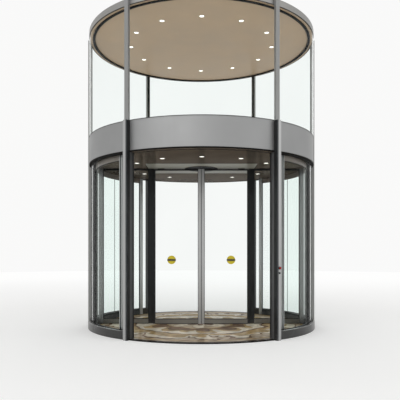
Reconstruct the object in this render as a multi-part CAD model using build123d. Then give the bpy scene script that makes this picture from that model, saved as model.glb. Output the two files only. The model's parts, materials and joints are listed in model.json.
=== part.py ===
"""Automatic revolving door with two compartments, a glazed drum and a glazed upper storey.

The row frame has its origin on the floor at the drum's axis, +Z up, and -Y towards the street.
Angles are in degrees, counted from +X and counter-clockwise seen from above.
"""
from build123d import *
from math import degrees, sqrt
import os

# Fixed drum: radii and heights, in millimetres
DRUM_RADIUS = 2000.0
PASSAGE_HEIGHT = 2840.0
FASCIA_HEIGHT = 450.0
UPPER_STOREY_HEIGHT = 1748.0
HEAD_RING_HEIGHT = 100.0
OPENING_HALF_ANGLE = 33.9

# Floor and thresholds
FLOOR_THICKNESS = 16.0
THRESHOLD_WIDTH = 27.0
THRESHOLD_HEIGHT = 18.0
FLOOR_EDGE_INSET = 15.0
FLOOR_EDGE_GAP = 0.3

# Plinth under the drum glass
PLINTH_HEIGHT = 130.0
PLINTH_PROJECTION = 20.0
PLINTH_BEVEL = 8.0

# Posts and mullions
POST_DEPTH = 95.0
POST_WIDTH = 72.0
POST_CHAMFER = 2.0
SIDE_POST_WIDTH = 80.0
MULLION_BOX_DEPTH = 62.0
MULLION_CAP_DEPTH = 18.0
MULLION_WIDTH = 72.0
SHADOW_GAP_WIDTH = 6.0
SHADOW_GAP_DEPTH = 5.0
UPPER_MULLION_DEPTH = 48.0
SIDE_MULLION_DEPTH = 50.0
SIDE_MULLION_WIDTH = 100.0
MULLION_SEAT = 0.3

# Glass
DRUM_GLASS_INSET = 38.5
DRUM_GLASS_THICKNESS = 13.0
DRUM_GLASS_JOINT = 4.0
UPPER_GLASS_INSET = 1.0
UPPER_GLASS_THICKNESS = 13.0
UPPER_GLASS_JOINT = 3.0
ROTOR_GLASS_THICKNESS = 12.0
LEAF_GLASS_THICKNESS = 10.0

# Head channel under the fascia
HEAD_CHANNEL_HEIGHT = 22.0
HEAD_CHANNEL_INSET = 2.0
HEAD_CHANNEL_WIDTH = 83.0

# Canopy fascia and deck
FASCIA_SKIN = 12.0
FASCIA_JOINT = 1.6
DECK_THICKNESS = 16.0
DECK_EDGE_GAP = 0.3
PLATE_SIDES = 48
RING_SIDES = 96

# Upper storey
HEAD_RING_WIDTH = 100.0
UPPER_CEILING_THICKNESS = 24.0
UPPER_CEILING_GAP = 0.3
UPPER_LIGHT_COUNT = 12
UPPER_LIGHT_INSET = 620.0
LIGHT_RADIUS = 45.0
LIGHT_DEPTH = 5.0
LIGHT_SIDES = 12

# Rotor: running clearances and ceiling
ROTOR_CLEARANCE = 8.0
FLOOR_CLEARANCE = 8.0
CEILING_EDGE_CLEARANCE = 30.0
ROTOR_CEILING_THICKNESS = 25.0
BRIDGE_HALF_WIDTH = 575.0
CEILING_LIGHT_INSET = 615.0
CEILING_LIGHT_ANGLES = (0.0, 30.0, 60.0, 120.0, 150.0, 180.0, 210.0, 240.0, 300.0, 330.0)
HUB_CAP_RADIUS = 300.0
HUB_CAP_THICKNESS = 6.0

# Rotor: track for the sliding leaves
TRACK_WIDTH = 60.0
TRACK_HEIGHT = 70.0
TRACK_WALL = 6.0
TRACK_SLOT = 20.0
TRACK_END_GAP = 8.0
CEILING_SLOT = 30.0

# Rotor: beams, hub and bearing
BEAM_WIDTH = 40.0
BEAM_GAP = 8.0
BEAM_END_INSET = 83.0
HUB_FLANGE_RADIUS = 320.0
HUB_FLANGE_THICKNESS = 20.0
SHAFT_RADIUS = 150.0
BEARING_GAP = 0.3
BEARING_WALL = 80.0
BEARING_HEIGHT = 180.0
SHAFT_TOP_GAP = 20.0

# Rotor: end shields
SHIELD_HALF_ANGLE = 48.0
SHIELD_STILE_WIDTH = 66.0
SHIELD_STILE_DEPTH = 46.0
BRUSH_DEPTH = 8.0
SHIELD_GLASS_INSET = 17.0
SHIELD_RAIL_WIDTH = 24.0
SHIELD_RAIL_INSET = 11.0
RAIL_HEIGHT = 82.0
SHIELD_TOP_RAIL_HEIGHT = 82.0
TOP_RAIL_HEIGHT = 18.0

# Rotor: portal and sliding leaves
LEAF_DEPTH = 40.0
LEAF_PLANE_GAP = 12.0
PORTAL_POST_POSITION = 865.0
PORTAL_POST_WIDTH = 98.0
END_STILE_WIDTH = 70.0
END_STILE_GAP = 1.0
LEAF_OVERLAP = 15.0
LEAF_MEETING_GAP = 8.0
MEETING_STILE_WIDTH = 51.0
LEAF_STILE_WIDTH = 40.0
LEAF_TOP_CLEARANCE = 11.0
CARRIAGE_LENGTH = 120.0
CARRIAGE_HEIGHT = 34.0
CARRIAGE_SIDE_GAP = 4.0
CARRIAGE_SEAT = 0.3
CARRIAGE_INSET = 150.0
HANGER_THICKNESS = 10.0
FRAME_CHAMFER = 2.0

# Switches on the street-side right mullion
STOP_HEIGHT = 1090.0
STOP_RADIUS = 20.0
STOP_PROJECTION = 22.0
STOP_COLLAR_RADIUS = 24.0
STOP_COLLAR_PROJECTION = 8.0
KEY_SWITCH_DROP = 75.0
KEY_SWITCH_RADIUS = 16.0
KEY_SWITCH_PROJECTION = 7.0
KEY_BARREL_RADIUS = 9.0
KEY_BARREL_PROJECTION = 11.0
SWITCH_SIDES = 16

# How far cuts and joins reach past a face
MARGIN = 1.0

# Levels and radii that follow from the sizes above
FASCIA_BOTTOM = PASSAGE_HEIGHT + HEAD_CHANNEL_HEIGHT
CANOPY_TOP = FASCIA_BOTTOM + FASCIA_HEIGHT
UPPER_CEILING_LEVEL = CANOPY_TOP + UPPER_STOREY_HEIGHT
OVERALL_HEIGHT = UPPER_CEILING_LEVEL + HEAD_RING_HEIGHT
FLOOR_RADIUS = DRUM_RADIUS - FLOOR_EDGE_INSET
POST_INNER_RADIUS = DRUM_RADIUS - POST_DEPTH
MULLION_INNER_RADIUS = DRUM_RADIUS + MULLION_SEAT
MULLION_BOX_RADIUS = MULLION_INNER_RADIUS + MULLION_BOX_DEPTH
MULLION_FACE_RADIUS = MULLION_BOX_RADIUS + MULLION_CAP_DEPTH
HEAD_CHANNEL_OUTER = DRUM_RADIUS - HEAD_CHANNEL_INSET
HEAD_CHANNEL_INNER = HEAD_CHANNEL_OUTER - HEAD_CHANNEL_WIDTH
HEAD_RING_INNER = DRUM_RADIUS - HEAD_RING_WIDTH
DECK_BOTTOM = CANOPY_TOP - DECK_THICKNESS
ROTOR_RADIUS = POST_INNER_RADIUS - ROTOR_CLEARANCE
ROTOR_BOTTOM = FLOOR_THICKNESS + FLOOR_CLEARANCE
ROTOR_CEILING_BOTTOM = PASSAGE_HEIGHT
ROTOR_CEILING_TOP = ROTOR_CEILING_BOTTOM + ROTOR_CEILING_THICKNESS
ROTOR_CEILING_RADIUS = HEAD_CHANNEL_INNER - CEILING_EDGE_CLEARANCE
SHIELD_OUTER_RADIUS = ROTOR_RADIUS - BRUSH_DEPTH
SHIELD_RAIL_INNER = ROTOR_RADIUS - SHIELD_RAIL_INSET - SHIELD_RAIL_WIDTH
SHIELD_GLASS_OUTER = ROTOR_RADIUS - SHIELD_GLASS_INSET
END_STILE_OUTER = SHIELD_RAIL_INNER - END_STILE_GAP
END_STILE_INNER = END_STILE_OUTER - END_STILE_WIDTH
PANEL_PLANE = (LEAF_PLANE_GAP + LEAF_DEPTH) / 2
LEAF_PLANE = -PANEL_PLANE
LEAF_TOP = ROTOR_CEILING_BOTTOM - LEAF_TOP_CLEARANCE
PORTAL_POST_OUTER = PORTAL_POST_POSITION + PORTAL_POST_WIDTH
TRACK_TOP = ROTOR_CEILING_TOP + TRACK_HEIGHT
TRACK_HALF_LENGTH = END_STILE_INNER - TRACK_END_GAP
BEAM_HALF_LENGTH = TRACK_HALF_LENGTH - BEAM_END_INSET

FRONT = -90.0
RIGHT = 0.0
REAR = 90.0
LEFT = 180.0
FULL_TURN = 360.0
MULLION_ANGLES = {
    "front_right": FRONT + OPENING_HALF_ANGLE,
    "rear_right": REAR - OPENING_HALF_ANGLE,
    "rear_left": REAR + OPENING_HALF_ANGLE,
    "front_left": FRONT - OPENING_HALF_ANGLE,
}


def revolved_section(points, start, end):
    """Revolve a closed outline of (radius, height) points from one angle to another."""
    outline = Plane.XZ * Polyline(*points, close=True)
    section = make_face(outline.edges())
    return Rot(0, 0, start) * revolve(section, axis=Axis.Z, revolution_arc=end - start)


def ring_sector(inner, outer, low, high, start, end):
    """A sector of a rectangular ring, between two radii and two levels."""
    points = [(inner, low), (outer, low), (outer, high), (inner, high)]
    return revolved_section(points, start, end)


def block(x_low, x_high, y_low, y_high, z_low, z_high):
    """An upright box given by its limits."""
    size = Box(x_high - x_low, y_high - y_low, z_high - z_low)
    return Pos((x_low + x_high) / 2, (y_low + y_high) / 2, (z_low + z_high) / 2) * size


def radial_bar(inner, depth, width, low, high, angle, chamfer_size=0.0):
    """An upright bar whose inner face stands square to a radius of the drum."""
    bar = block(inner, inner + depth, -width / 2, width / 2, low, high)
    if chamfer_size > 0:
        bar = chamfer(bar.edges().filter_by(Axis.Z), chamfer_size)
    return Rot(0, 0, angle) * bar


def few_sided_disc(radius, thickness, sides):
    """A round plate made with short straight edges, standing on the XY plane."""
    return extrude(RegularPolygon(radius, sides), thickness)


def few_sided_ring(inner, outer, low, high):
    """A flat ring made with short straight edges, between two levels."""
    height = high - low
    ring = few_sided_disc(outer, height, RING_SIDES) - few_sided_disc(inner, height, RING_SIDES)
    return Pos(0, 0, low) * ring


def radial_disc(projection, radius, level, angle):
    """A round button that stands out from a mullion's cap."""
    disc = few_sided_disc(radius, projection, SWITCH_SIDES)
    return Rot(0, 0, angle) * Pos(MULLION_FACE_RADIUS, 0, level) * Rot(0, 90, 0) * disc


def half_angle(width, radius):
    """Half the angle, in degrees, that a width takes up on a radius."""
    return degrees(width / 2 / radius)


def post_space(angle):
    """The room that a post and the mullion outside it take out of the curved pieces."""
    post_width, mullion_width = POST_WIDTH, MULLION_WIDTH
    if angle in (LEFT, RIGHT, -LEFT):
        post_width, mullion_width = SIDE_POST_WIDTH, SIDE_MULLION_WIDTH
    inner = POST_INNER_RADIUS - POST_DEPTH
    post = radial_bar(inner, DRUM_RADIUS - inner, post_width, -MARGIN, FASCIA_BOTTOM, angle)
    return post + radial_bar(DRUM_RADIUS, POST_DEPTH, mullion_width, -MARGIN, FASCIA_BOTTOM, angle)


def between_posts(solid, start, end):
    """Trim a curved piece flush against the posts and mullions at its ends."""
    for angle in (start, end):
        solid = solid - post_space(angle)
    return solid.solids()[0]


def quarter_spans():
    """Start and end angle of each glazed quarter of the drum."""
    return {
        "front_right": (MULLION_ANGLES["front_right"], RIGHT),
        "rear_right": (RIGHT, MULLION_ANGLES["rear_right"]),
        "rear_left": (MULLION_ANGLES["rear_left"], LEFT),
        "front_left": (-LEFT, MULLION_ANGLES["front_left"]),
    }


def bay_spans():
    """Start and end angle of the four bays between the mullions."""
    return {
        "front": (MULLION_ANGLES["front_left"], MULLION_ANGLES["front_right"]),
        "right": (MULLION_ANGLES["front_right"], MULLION_ANGLES["rear_right"]),
        "rear": (MULLION_ANGLES["rear_right"], MULLION_ANGLES["rear_left"]),
        "left": (MULLION_ANGLES["rear_left"], FULL_TURN + MULLION_ANGLES["front_left"]),
    }


def plinth_quarter(start, end):
    """Plinth that sits on the floor disc, with a skirt down to the ground outside it."""
    outer = DRUM_RADIUS + PLINTH_PROJECTION
    skirt = FLOOR_RADIUS + FLOOR_EDGE_GAP
    points = [
        (POST_INNER_RADIUS, FLOOR_THICKNESS),
        (skirt, FLOOR_THICKNESS),
        (skirt, 0),
        (outer, 0),
        (outer, PLINTH_HEIGHT - PLINTH_BEVEL),
        (outer - PLINTH_BEVEL, PLINTH_HEIGHT),
        (POST_INNER_RADIUS, PLINTH_HEIGHT),
    ]
    return between_posts(revolved_section(points, start, end), start, end)


def drum_glass(start, end):
    """Two curved panes from the plinth up to the head channel, with an open joint between them."""
    outer = DRUM_RADIUS - DRUM_GLASS_INSET
    inner = outer - DRUM_GLASS_THICKNESS
    middle = (start + end) / 2
    half_joint = half_angle(DRUM_GLASS_JOINT, outer)
    panes = []
    for low, high in ((start, middle - half_joint), (middle + half_joint, end)):
        pane = ring_sector(inner, outer, PLINTH_HEIGHT, PASSAGE_HEIGHT, low, high)
        panes.append(between_posts(pane, start, end))
    return panes


def threshold(start, end):
    """Curved edge strip of the floor across a doorway."""
    inner = FLOOR_RADIUS + FLOOR_EDGE_GAP
    strip = ring_sector(inner, inner + THRESHOLD_WIDTH, 0, THRESHOLD_HEIGHT, start, end)
    return between_posts(strip, start, end)


def mullion(angle):
    """Mullion beside a doorway, with a neck that leaves a shadow gap under its cap."""
    body_depth = MULLION_BOX_DEPTH - SHADOW_GAP_WIDTH
    neck_width = MULLION_WIDTH - 2 * SHADOW_GAP_DEPTH
    neck_inner = MULLION_INNER_RADIUS + body_depth
    body = radial_bar(MULLION_INNER_RADIUS, body_depth, MULLION_WIDTH, 0, CANOPY_TOP, angle)
    neck = radial_bar(neck_inner, SHADOW_GAP_WIDTH, neck_width, 0, CANOPY_TOP, angle)
    return body + neck


def mullion_cap(angle):
    """Cover cap on a mullion's outer face."""
    return radial_bar(
        MULLION_BOX_RADIUS, MULLION_CAP_DEPTH, MULLION_WIDTH, 0, CANOPY_TOP, angle, POST_CHAMFER
    )


def upper_mullion(angle):
    """Mullion outside the upper storey's glass, standing on the mullion below."""
    return radial_bar(
        MULLION_INNER_RADIUS, UPPER_MULLION_DEPTH, MULLION_WIDTH, CANOPY_TOP, OVERALL_HEIGHT, angle,
        POST_CHAMFER,
    )


def side_mullion(angle):
    """Full-height mullion that the facade joins."""
    return radial_bar(
        MULLION_INNER_RADIUS, SIDE_MULLION_DEPTH, SIDE_MULLION_WIDTH, 0, OVERALL_HEIGHT, angle,
        POST_CHAMFER,
    )


def inner_post(angle, width):
    """Post inside the drum, from the floor disc up to the head channel."""
    return radial_bar(
        POST_INNER_RADIUS, POST_DEPTH, width, FLOOR_THICKNESS, PASSAGE_HEIGHT, angle, POST_CHAMFER
    )


def fascia(start, end):
    """Curved canopy fascia, a rolled sheet that stands on the head channel."""
    half_joint = half_angle(FASCIA_JOINT, DRUM_RADIUS)
    inner = DRUM_RADIUS - FASCIA_SKIN
    return ring_sector(
        inner, DRUM_RADIUS, FASCIA_BOTTOM, CANOPY_TOP, start + half_joint, end - half_joint
    )


def canopy_deck():
    """Plate that closes the canopy's top inside the fascia, cut with short straight edges."""
    radius = DRUM_RADIUS - FASCIA_SKIN - DECK_EDGE_GAP
    return Pos(0, 0, DECK_BOTTOM) * few_sided_disc(radius, DECK_THICKNESS, PLATE_SIDES)


def upper_glass(spans):
    """Curved panes of the upper storey, from the canopy up to the head ring."""
    outer = DRUM_RADIUS - UPPER_GLASS_INSET
    inner = outer - UPPER_GLASS_THICKNESS
    half_joint = half_angle(UPPER_GLASS_JOINT, outer)
    return [
        ring_sector(inner, outer, CANOPY_TOP, UPPER_CEILING_LEVEL, start + half_joint, end - half_joint)
        for start, end in spans
    ]


def pane_spans(start, end, pane_count):
    """Start and end angles of the panes that share a bay."""
    step = (end - start) / pane_count
    return [(start + index * step, start + (index + 1) * step) for index in range(pane_count)]


def downlights(circle, level, angles):
    """Downlights on a circle, each hanging by its depth under a ceiling's level."""
    disc = Pos(circle, 0, level - LIGHT_DEPTH) * few_sided_disc(LIGHT_RADIUS, LIGHT_DEPTH, LIGHT_SIDES)
    return [Rot(0, 0, angle) * disc for angle in angles]


def bearing_housing():
    """Bearing block under the canopy deck, round the rotor's shaft."""
    bore = SHAFT_RADIUS + BEARING_GAP
    half = bore + BEARING_WALL
    housing = block(-half, half, -half, half, DECK_BOTTOM - BEARING_HEIGHT, DECK_BOTTOM)
    middle = DECK_BOTTOM - BEARING_HEIGHT / 2
    return housing - Pos(0, 0, middle) * Cylinder(bore, BEARING_HEIGHT)


def ceiling_plate():
    """The whole round ceiling plate of the rotor, before it is divided."""
    middle = (ROTOR_CEILING_BOTTOM + ROTOR_CEILING_TOP) / 2
    return Pos(0, 0, middle) * Cylinder(ROTOR_CEILING_RADIUS, ROTOR_CEILING_THICKNESS)


def ceiling_slot(low, high):
    """Room for the leaves' hangers through the ceiling, along the track."""
    half = CEILING_SLOT / 2
    return block(-TRACK_HALF_LENGTH, TRACK_HALF_LENGTH, LEAF_PLANE - half, LEAF_PLANE + half, low, high)


def bridge_area(low, high):
    """The middle of the ceiling over the portal, from post to post."""
    length = PORTAL_POST_OUTER
    return block(-length, length, -BRIDGE_HALF_WIDTH, BRIDGE_HALF_WIDTH, low, high)


def ceiling_bridge():
    """The two light panels over the portal, in front of the track and behind it."""
    low, high = ROTOR_CEILING_BOTTOM, ROTOR_CEILING_TOP
    return (bridge_area(low, high) - ceiling_slot(low - MARGIN, high + MARGIN)).solids()


def ceiling_segment(side):
    """Glossy ceiling round the bridge, in front of the track (side -1) or behind it (side 1)."""
    low, high = ROTOR_CEILING_BOTTOM - MARGIN, ROTOR_CEILING_TOP + MARGIN
    reach = ROTOR_CEILING_RADIUS + MARGIN
    y_low, y_high = sorted((LEAF_PLANE, side * reach))
    half = ceiling_plate() & block(-reach, reach, y_low, y_high, low, high)
    return half - bridge_area(low, high) - ceiling_slot(low, high)


def hub_cap():
    """Round cover under the ceiling's centre, divided by the track's slot."""
    low = ROTOR_CEILING_BOTTOM - HUB_CAP_THICKNESS
    disc = Pos(0, 0, low) * few_sided_disc(HUB_CAP_RADIUS, HUB_CAP_THICKNESS, PLATE_SIDES)
    return (disc - ceiling_slot(low - MARGIN, ROTOR_CEILING_BOTTOM + MARGIN)).solids()


def slide_track():
    """Channel over the ceiling in which the leaves' carriages roll, open at the bottom."""
    half = TRACK_WIDTH / 2
    low, high = ROTOR_CEILING_TOP, TRACK_TOP
    length = TRACK_HALF_LENGTH
    outside = block(-length, length, LEAF_PLANE - half, LEAF_PLANE + half, low, high)
    room = half - TRACK_WALL
    reach = length + MARGIN
    cavity = block(-reach, reach, LEAF_PLANE - room, LEAF_PLANE + room, low + TRACK_WALL, high - TRACK_WALL)
    slot_half = TRACK_SLOT / 2
    slot_top = low + 2 * TRACK_WALL
    slot = block(-reach, reach, LEAF_PLANE - slot_half, LEAF_PLANE + slot_half, low - MARGIN, slot_top)
    return outside - cavity - slot


def rotor_hub():
    """Shaft and flange on two beams that stand on the ceiling beside the track."""
    half = TRACK_WIDTH / 2
    length = BEAM_HALF_LENGTH
    low = ROTOR_CEILING_TOP
    front = LEAF_PLANE - half - BEAM_GAP
    rear = LEAF_PLANE + half + BEAM_GAP
    hub = block(-length, length, front - BEAM_WIDTH, front, low, TRACK_TOP)
    hub = hub + block(-length, length, rear, rear + BEAM_WIDTH, low, TRACK_TOP)
    flange_middle = TRACK_TOP + HUB_FLANGE_THICKNESS / 2
    hub = hub + Pos(0, 0, flange_middle) * Cylinder(HUB_FLANGE_RADIUS, HUB_FLANGE_THICKNESS)
    shaft_low = TRACK_TOP + HUB_FLANGE_THICKNESS
    shaft_high = DECK_BOTTOM - SHAFT_TOP_GAP
    shaft = Cylinder(SHAFT_RADIUS, shaft_high - shaft_low)
    return hub + Pos(0, 0, (shaft_low + shaft_high) / 2) * shaft


def shield_rail(middle, low, high):
    """One curved rail of an end shield, between two levels."""
    start, end = middle - SHIELD_HALF_ANGLE, middle + SHIELD_HALF_ANGLE
    outer = SHIELD_RAIL_INNER + SHIELD_RAIL_WIDTH
    rail = ring_sector(SHIELD_RAIL_INNER, outer, low, high, start, end)
    return between_shield_stiles(rail, start, end)


def shield_bottom_rail(middle):
    """Bottom rail of one end shield."""
    return shield_rail(middle, ROTOR_BOTTOM, ROTOR_BOTTOM + RAIL_HEIGHT)


def shield_top_rail(middle):
    """Top rail of one end shield, under the rotor's ceiling."""
    return shield_rail(middle, ROTOR_CEILING_BOTTOM - SHIELD_TOP_RAIL_HEIGHT, ROTOR_CEILING_BOTTOM)


def between_shield_stiles(solid, start, end):
    """Trim a curved piece of the shield flush against its corner stiles."""
    inner = SHIELD_OUTER_RADIUS - 2 * SHIELD_STILE_DEPTH
    for angle in (start, end):
        solid = solid - radial_bar(inner, DRUM_RADIUS, SHIELD_STILE_WIDTH, 0, CANOPY_TOP, angle)
    return solid.solids()[0]


def shield_glass(middle):
    """Curved glass of one end shield, between its rails."""
    start, end = middle - SHIELD_HALF_ANGLE, middle + SHIELD_HALF_ANGLE
    inner = SHIELD_GLASS_OUTER - ROTOR_GLASS_THICKNESS
    low = ROTOR_BOTTOM + RAIL_HEIGHT
    high = ROTOR_CEILING_BOTTOM - SHIELD_TOP_RAIL_HEIGHT
    pane = ring_sector(inner, SHIELD_GLASS_OUTER, low, high, start, end)
    return between_shield_stiles(pane, start, end)


def shield_corner_angles():
    """Angles of the four corner stiles."""
    return [middle + side * SHIELD_HALF_ANGLE for middle in (LEFT, RIGHT) for side in (-1, 1)]


def shield_stile(angle):
    """Corner stile at one end of a shield."""
    inner = SHIELD_OUTER_RADIUS - SHIELD_STILE_DEPTH
    return radial_bar(
        inner, SHIELD_STILE_DEPTH, SHIELD_STILE_WIDTH, ROTOR_BOTTOM, ROTOR_CEILING_BOTTOM, angle,
        FRAME_CHAMFER,
    )


def shield_brush(angle):
    """Brush strip on the outer face of a corner stile."""
    corner = sqrt(ROTOR_RADIUS**2 - (SHIELD_STILE_WIDTH / 2) ** 2)
    return radial_bar(
        SHIELD_OUTER_RADIUS, corner - SHIELD_OUTER_RADIUS, SHIELD_STILE_WIDTH,
        ROTOR_BOTTOM, PASSAGE_HEIGHT, angle,
    )


def end_stile(side):
    """Stile where the portal's wall meets an end shield."""
    x_low, x_high = sorted((side * END_STILE_INNER, side * END_STILE_OUTER))
    half = LEAF_DEPTH + LEAF_PLANE_GAP / 2
    stile = block(x_low, x_high, -half, half, ROTOR_BOTTOM, ROTOR_CEILING_BOTTOM)
    return chamfer(stile.edges().filter_by(Axis.Z), FRAME_CHAMFER)


def side_frame(side):
    """Portal post and the two rails of the fixed panel beside it, in one frame."""
    y_low = PANEL_PLANE - LEAF_DEPTH / 2
    y_high = PANEL_PLANE + LEAF_DEPTH / 2
    x_low, x_high = sorted((side * PORTAL_POST_POSITION, side * PORTAL_POST_OUTER))
    frame = block(x_low, x_high, y_low, y_high, ROTOR_BOTTOM, ROTOR_CEILING_BOTTOM)
    frame = chamfer(frame.edges().filter_by(Axis.Z), FRAME_CHAMFER)
    rail_start = PORTAL_POST_OUTER - 2 * FRAME_CHAMFER
    x_low, x_high = sorted((side * rail_start, side * END_STILE_INNER))
    frame = frame + block(x_low, x_high, y_low, y_high, ROTOR_BOTTOM, ROTOR_BOTTOM + RAIL_HEIGHT)
    top_low = ROTOR_CEILING_BOTTOM - TOP_RAIL_HEIGHT
    return frame + block(x_low, x_high, y_low, y_high, top_low, ROTOR_CEILING_BOTTOM)


def side_glass(side):
    """Fixed glass between the portal post and the end stile."""
    x_low, x_high = sorted((side * PORTAL_POST_OUTER, side * END_STILE_INNER))
    half = LEAF_GLASS_THICKNESS / 2
    low = ROTOR_BOTTOM + RAIL_HEIGHT
    high = ROTOR_CEILING_BOTTOM - TOP_RAIL_HEIGHT
    return block(x_low, x_high, PANEL_PLANE - half, PANEL_PLANE + half, low, high)


def leaf_limits(side):
    """Distances from the axis of a leaf's meeting edge and its outer edge."""
    return side * LEAF_MEETING_GAP / 2, side * (PORTAL_POST_POSITION + LEAF_OVERLAP)


def meeting_stile(side):
    """Stile at the middle of the portal, where the two leaves meet."""
    edge, _ = leaf_limits(side)
    x_low, x_high = sorted((edge, edge + side * MEETING_STILE_WIDTH))
    half = LEAF_DEPTH / 2
    stile = block(x_low, x_high, LEAF_PLANE - half, LEAF_PLANE + half, ROTOR_BOTTOM, LEAF_TOP)
    return chamfer(stile.edges().filter_by(Axis.Z), FRAME_CHAMFER)


def leaf_frame(side):
    """Rails and outer stile of a sliding leaf, with the carriages that it hangs from."""
    edge, outer = leaf_limits(side)
    half = LEAF_DEPTH / 2
    y_low, y_high = LEAF_PLANE - half, LEAF_PLANE + half
    x_low, x_high = sorted((outer - side * LEAF_STILE_WIDTH, outer))
    frame = block(x_low, x_high, y_low, y_high, ROTOR_BOTTOM, LEAF_TOP)
    frame = chamfer(frame.edges().filter_by(Axis.Z), FRAME_CHAMFER)
    start = edge + side * MEETING_STILE_WIDTH
    x_low, x_high = sorted((start, outer - side * (LEAF_STILE_WIDTH - 2 * FRAME_CHAMFER)))
    frame = frame + block(x_low, x_high, y_low, y_high, ROTOR_BOTTOM, ROTOR_BOTTOM + RAIL_HEIGHT)
    frame = frame + block(x_low, x_high, y_low, y_high, LEAF_TOP - TOP_RAIL_HEIGHT, LEAF_TOP)
    seat = ROTOR_CEILING_TOP + TRACK_WALL + CARRIAGE_SEAT
    block_half = TRACK_WIDTH / 2 - TRACK_WALL - CARRIAGE_SIDE_GAP
    neck_half = HANGER_THICKNESS / 2
    for place in (edge + side * CARRIAGE_INSET, outer - side * CARRIAGE_INSET):
        x_low, x_high = place - CARRIAGE_LENGTH / 2, place + CARRIAGE_LENGTH / 2
        neck = block(
            x_low, x_high, LEAF_PLANE - neck_half, LEAF_PLANE + neck_half, LEAF_TOP - MARGIN, seat + MARGIN
        )
        body = block(
            x_low, x_high, LEAF_PLANE - block_half, LEAF_PLANE + block_half, seat, seat + CARRIAGE_HEIGHT
        )
        frame = frame + neck + body
    return frame


def leaf_glass(side):
    """Glass of a sliding leaf."""
    edge, outer = leaf_limits(side)
    x_low, x_high = sorted((edge + side * MEETING_STILE_WIDTH, outer - side * LEAF_STILE_WIDTH))
    half = LEAF_GLASS_THICKNESS / 2
    low, high = ROTOR_BOTTOM + RAIL_HEIGHT, LEAF_TOP - TOP_RAIL_HEIGHT
    return block(x_low, x_high, LEAF_PLANE - half, LEAF_PLANE + half, low, high)


def emergency_stop():
    """Push button on its collar."""
    angle = MULLION_ANGLES["front_right"]
    collar = radial_disc(STOP_COLLAR_PROJECTION, STOP_COLLAR_RADIUS, STOP_HEIGHT, angle)
    return collar + radial_disc(STOP_PROJECTION, STOP_RADIUS, STOP_HEIGHT, angle)


def key_switch():
    """Round key switch under the emergency stop."""
    angle = MULLION_ANGLES["front_right"]
    level = STOP_HEIGHT - KEY_SWITCH_DROP
    collar = radial_disc(KEY_SWITCH_PROJECTION, KEY_SWITCH_RADIUS, level, angle)
    return collar + radial_disc(KEY_BARREL_PROJECTION, KEY_BARREL_RADIUS, level, angle)


def lower_storey_nodes():
    """Pieces of the fixed drum below the fascia."""
    quarters = quarter_spans()
    bays = bay_spans()
    nodes = {
        "floor_disc": [Pos(0, 0, FLOOR_THICKNESS / 2) * Cylinder(FLOOR_RADIUS, FLOOR_THICKNESS)],
        "thresholds": [threshold(*bays[bay]) for bay in ("front", "rear")],
        "door_posts": [inner_post(angle, POST_WIDTH) for angle in MULLION_ANGLES.values()],
        "side_posts": [inner_post(angle, SIDE_POST_WIDTH) for angle in (LEFT, RIGHT)],
        "head_channel": [
            few_sided_ring(HEAD_CHANNEL_INNER, HEAD_CHANNEL_OUTER, PASSAGE_HEIGHT, FASCIA_BOTTOM)
        ],
        "mullion_caps": [mullion_cap(angle) for angle in MULLION_ANGLES.values()],
        "emergency_stop": [emergency_stop()],
        "key_switch": [key_switch()],
    }
    for side, angle in (("left", LEFT), ("right", RIGHT)):
        nodes["plinth_" + side] = [
            plinth_quarter(*quarters[end + "_" + side]) for end in ("front", "rear")
        ]
        nodes["side_mullion_" + side] = [side_mullion(angle)]
    for name, (start, end) in quarters.items():
        nodes["drum_glass_" + name] = drum_glass(start, end)
    for name, angle in MULLION_ANGLES.items():
        nodes["mullion_" + name] = [mullion(angle)]
    return nodes


def upper_storey_nodes():
    """Pieces of the fixed drum from the fascia up."""
    light_circle = HEAD_RING_INNER - UPPER_LIGHT_INSET
    light_angles = [FULL_TURN * index / UPPER_LIGHT_COUNT for index in range(UPPER_LIGHT_COUNT)]
    ceiling_radius = HEAD_RING_INNER - UPPER_CEILING_GAP
    ceiling_disc = few_sided_disc(ceiling_radius, UPPER_CEILING_THICKNESS, PLATE_SIDES)
    nodes = {
        "canopy_deck": [canopy_deck()],
        "bearing_housing": [bearing_housing()],
        "upper_mullions": [upper_mullion(angle) for angle in MULLION_ANGLES.values()],
        "upper_head_ring": [
            few_sided_ring(HEAD_RING_INNER, DRUM_RADIUS, UPPER_CEILING_LEVEL, OVERALL_HEIGHT)
        ],
        "upper_ceiling": [Pos(0, 0, UPPER_CEILING_LEVEL) * ceiling_disc],
        "upper_downlights": downlights(light_circle, UPPER_CEILING_LEVEL, light_angles),
    }
    for name, (start, end) in bay_spans().items():
        pane_count = 2 if name in ("left", "right") else 1
        nodes["fascia_" + name] = [fascia(start, end)]
        nodes["upper_glass_" + name] = upper_glass(pane_spans(start, end, pane_count))
    return nodes


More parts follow.
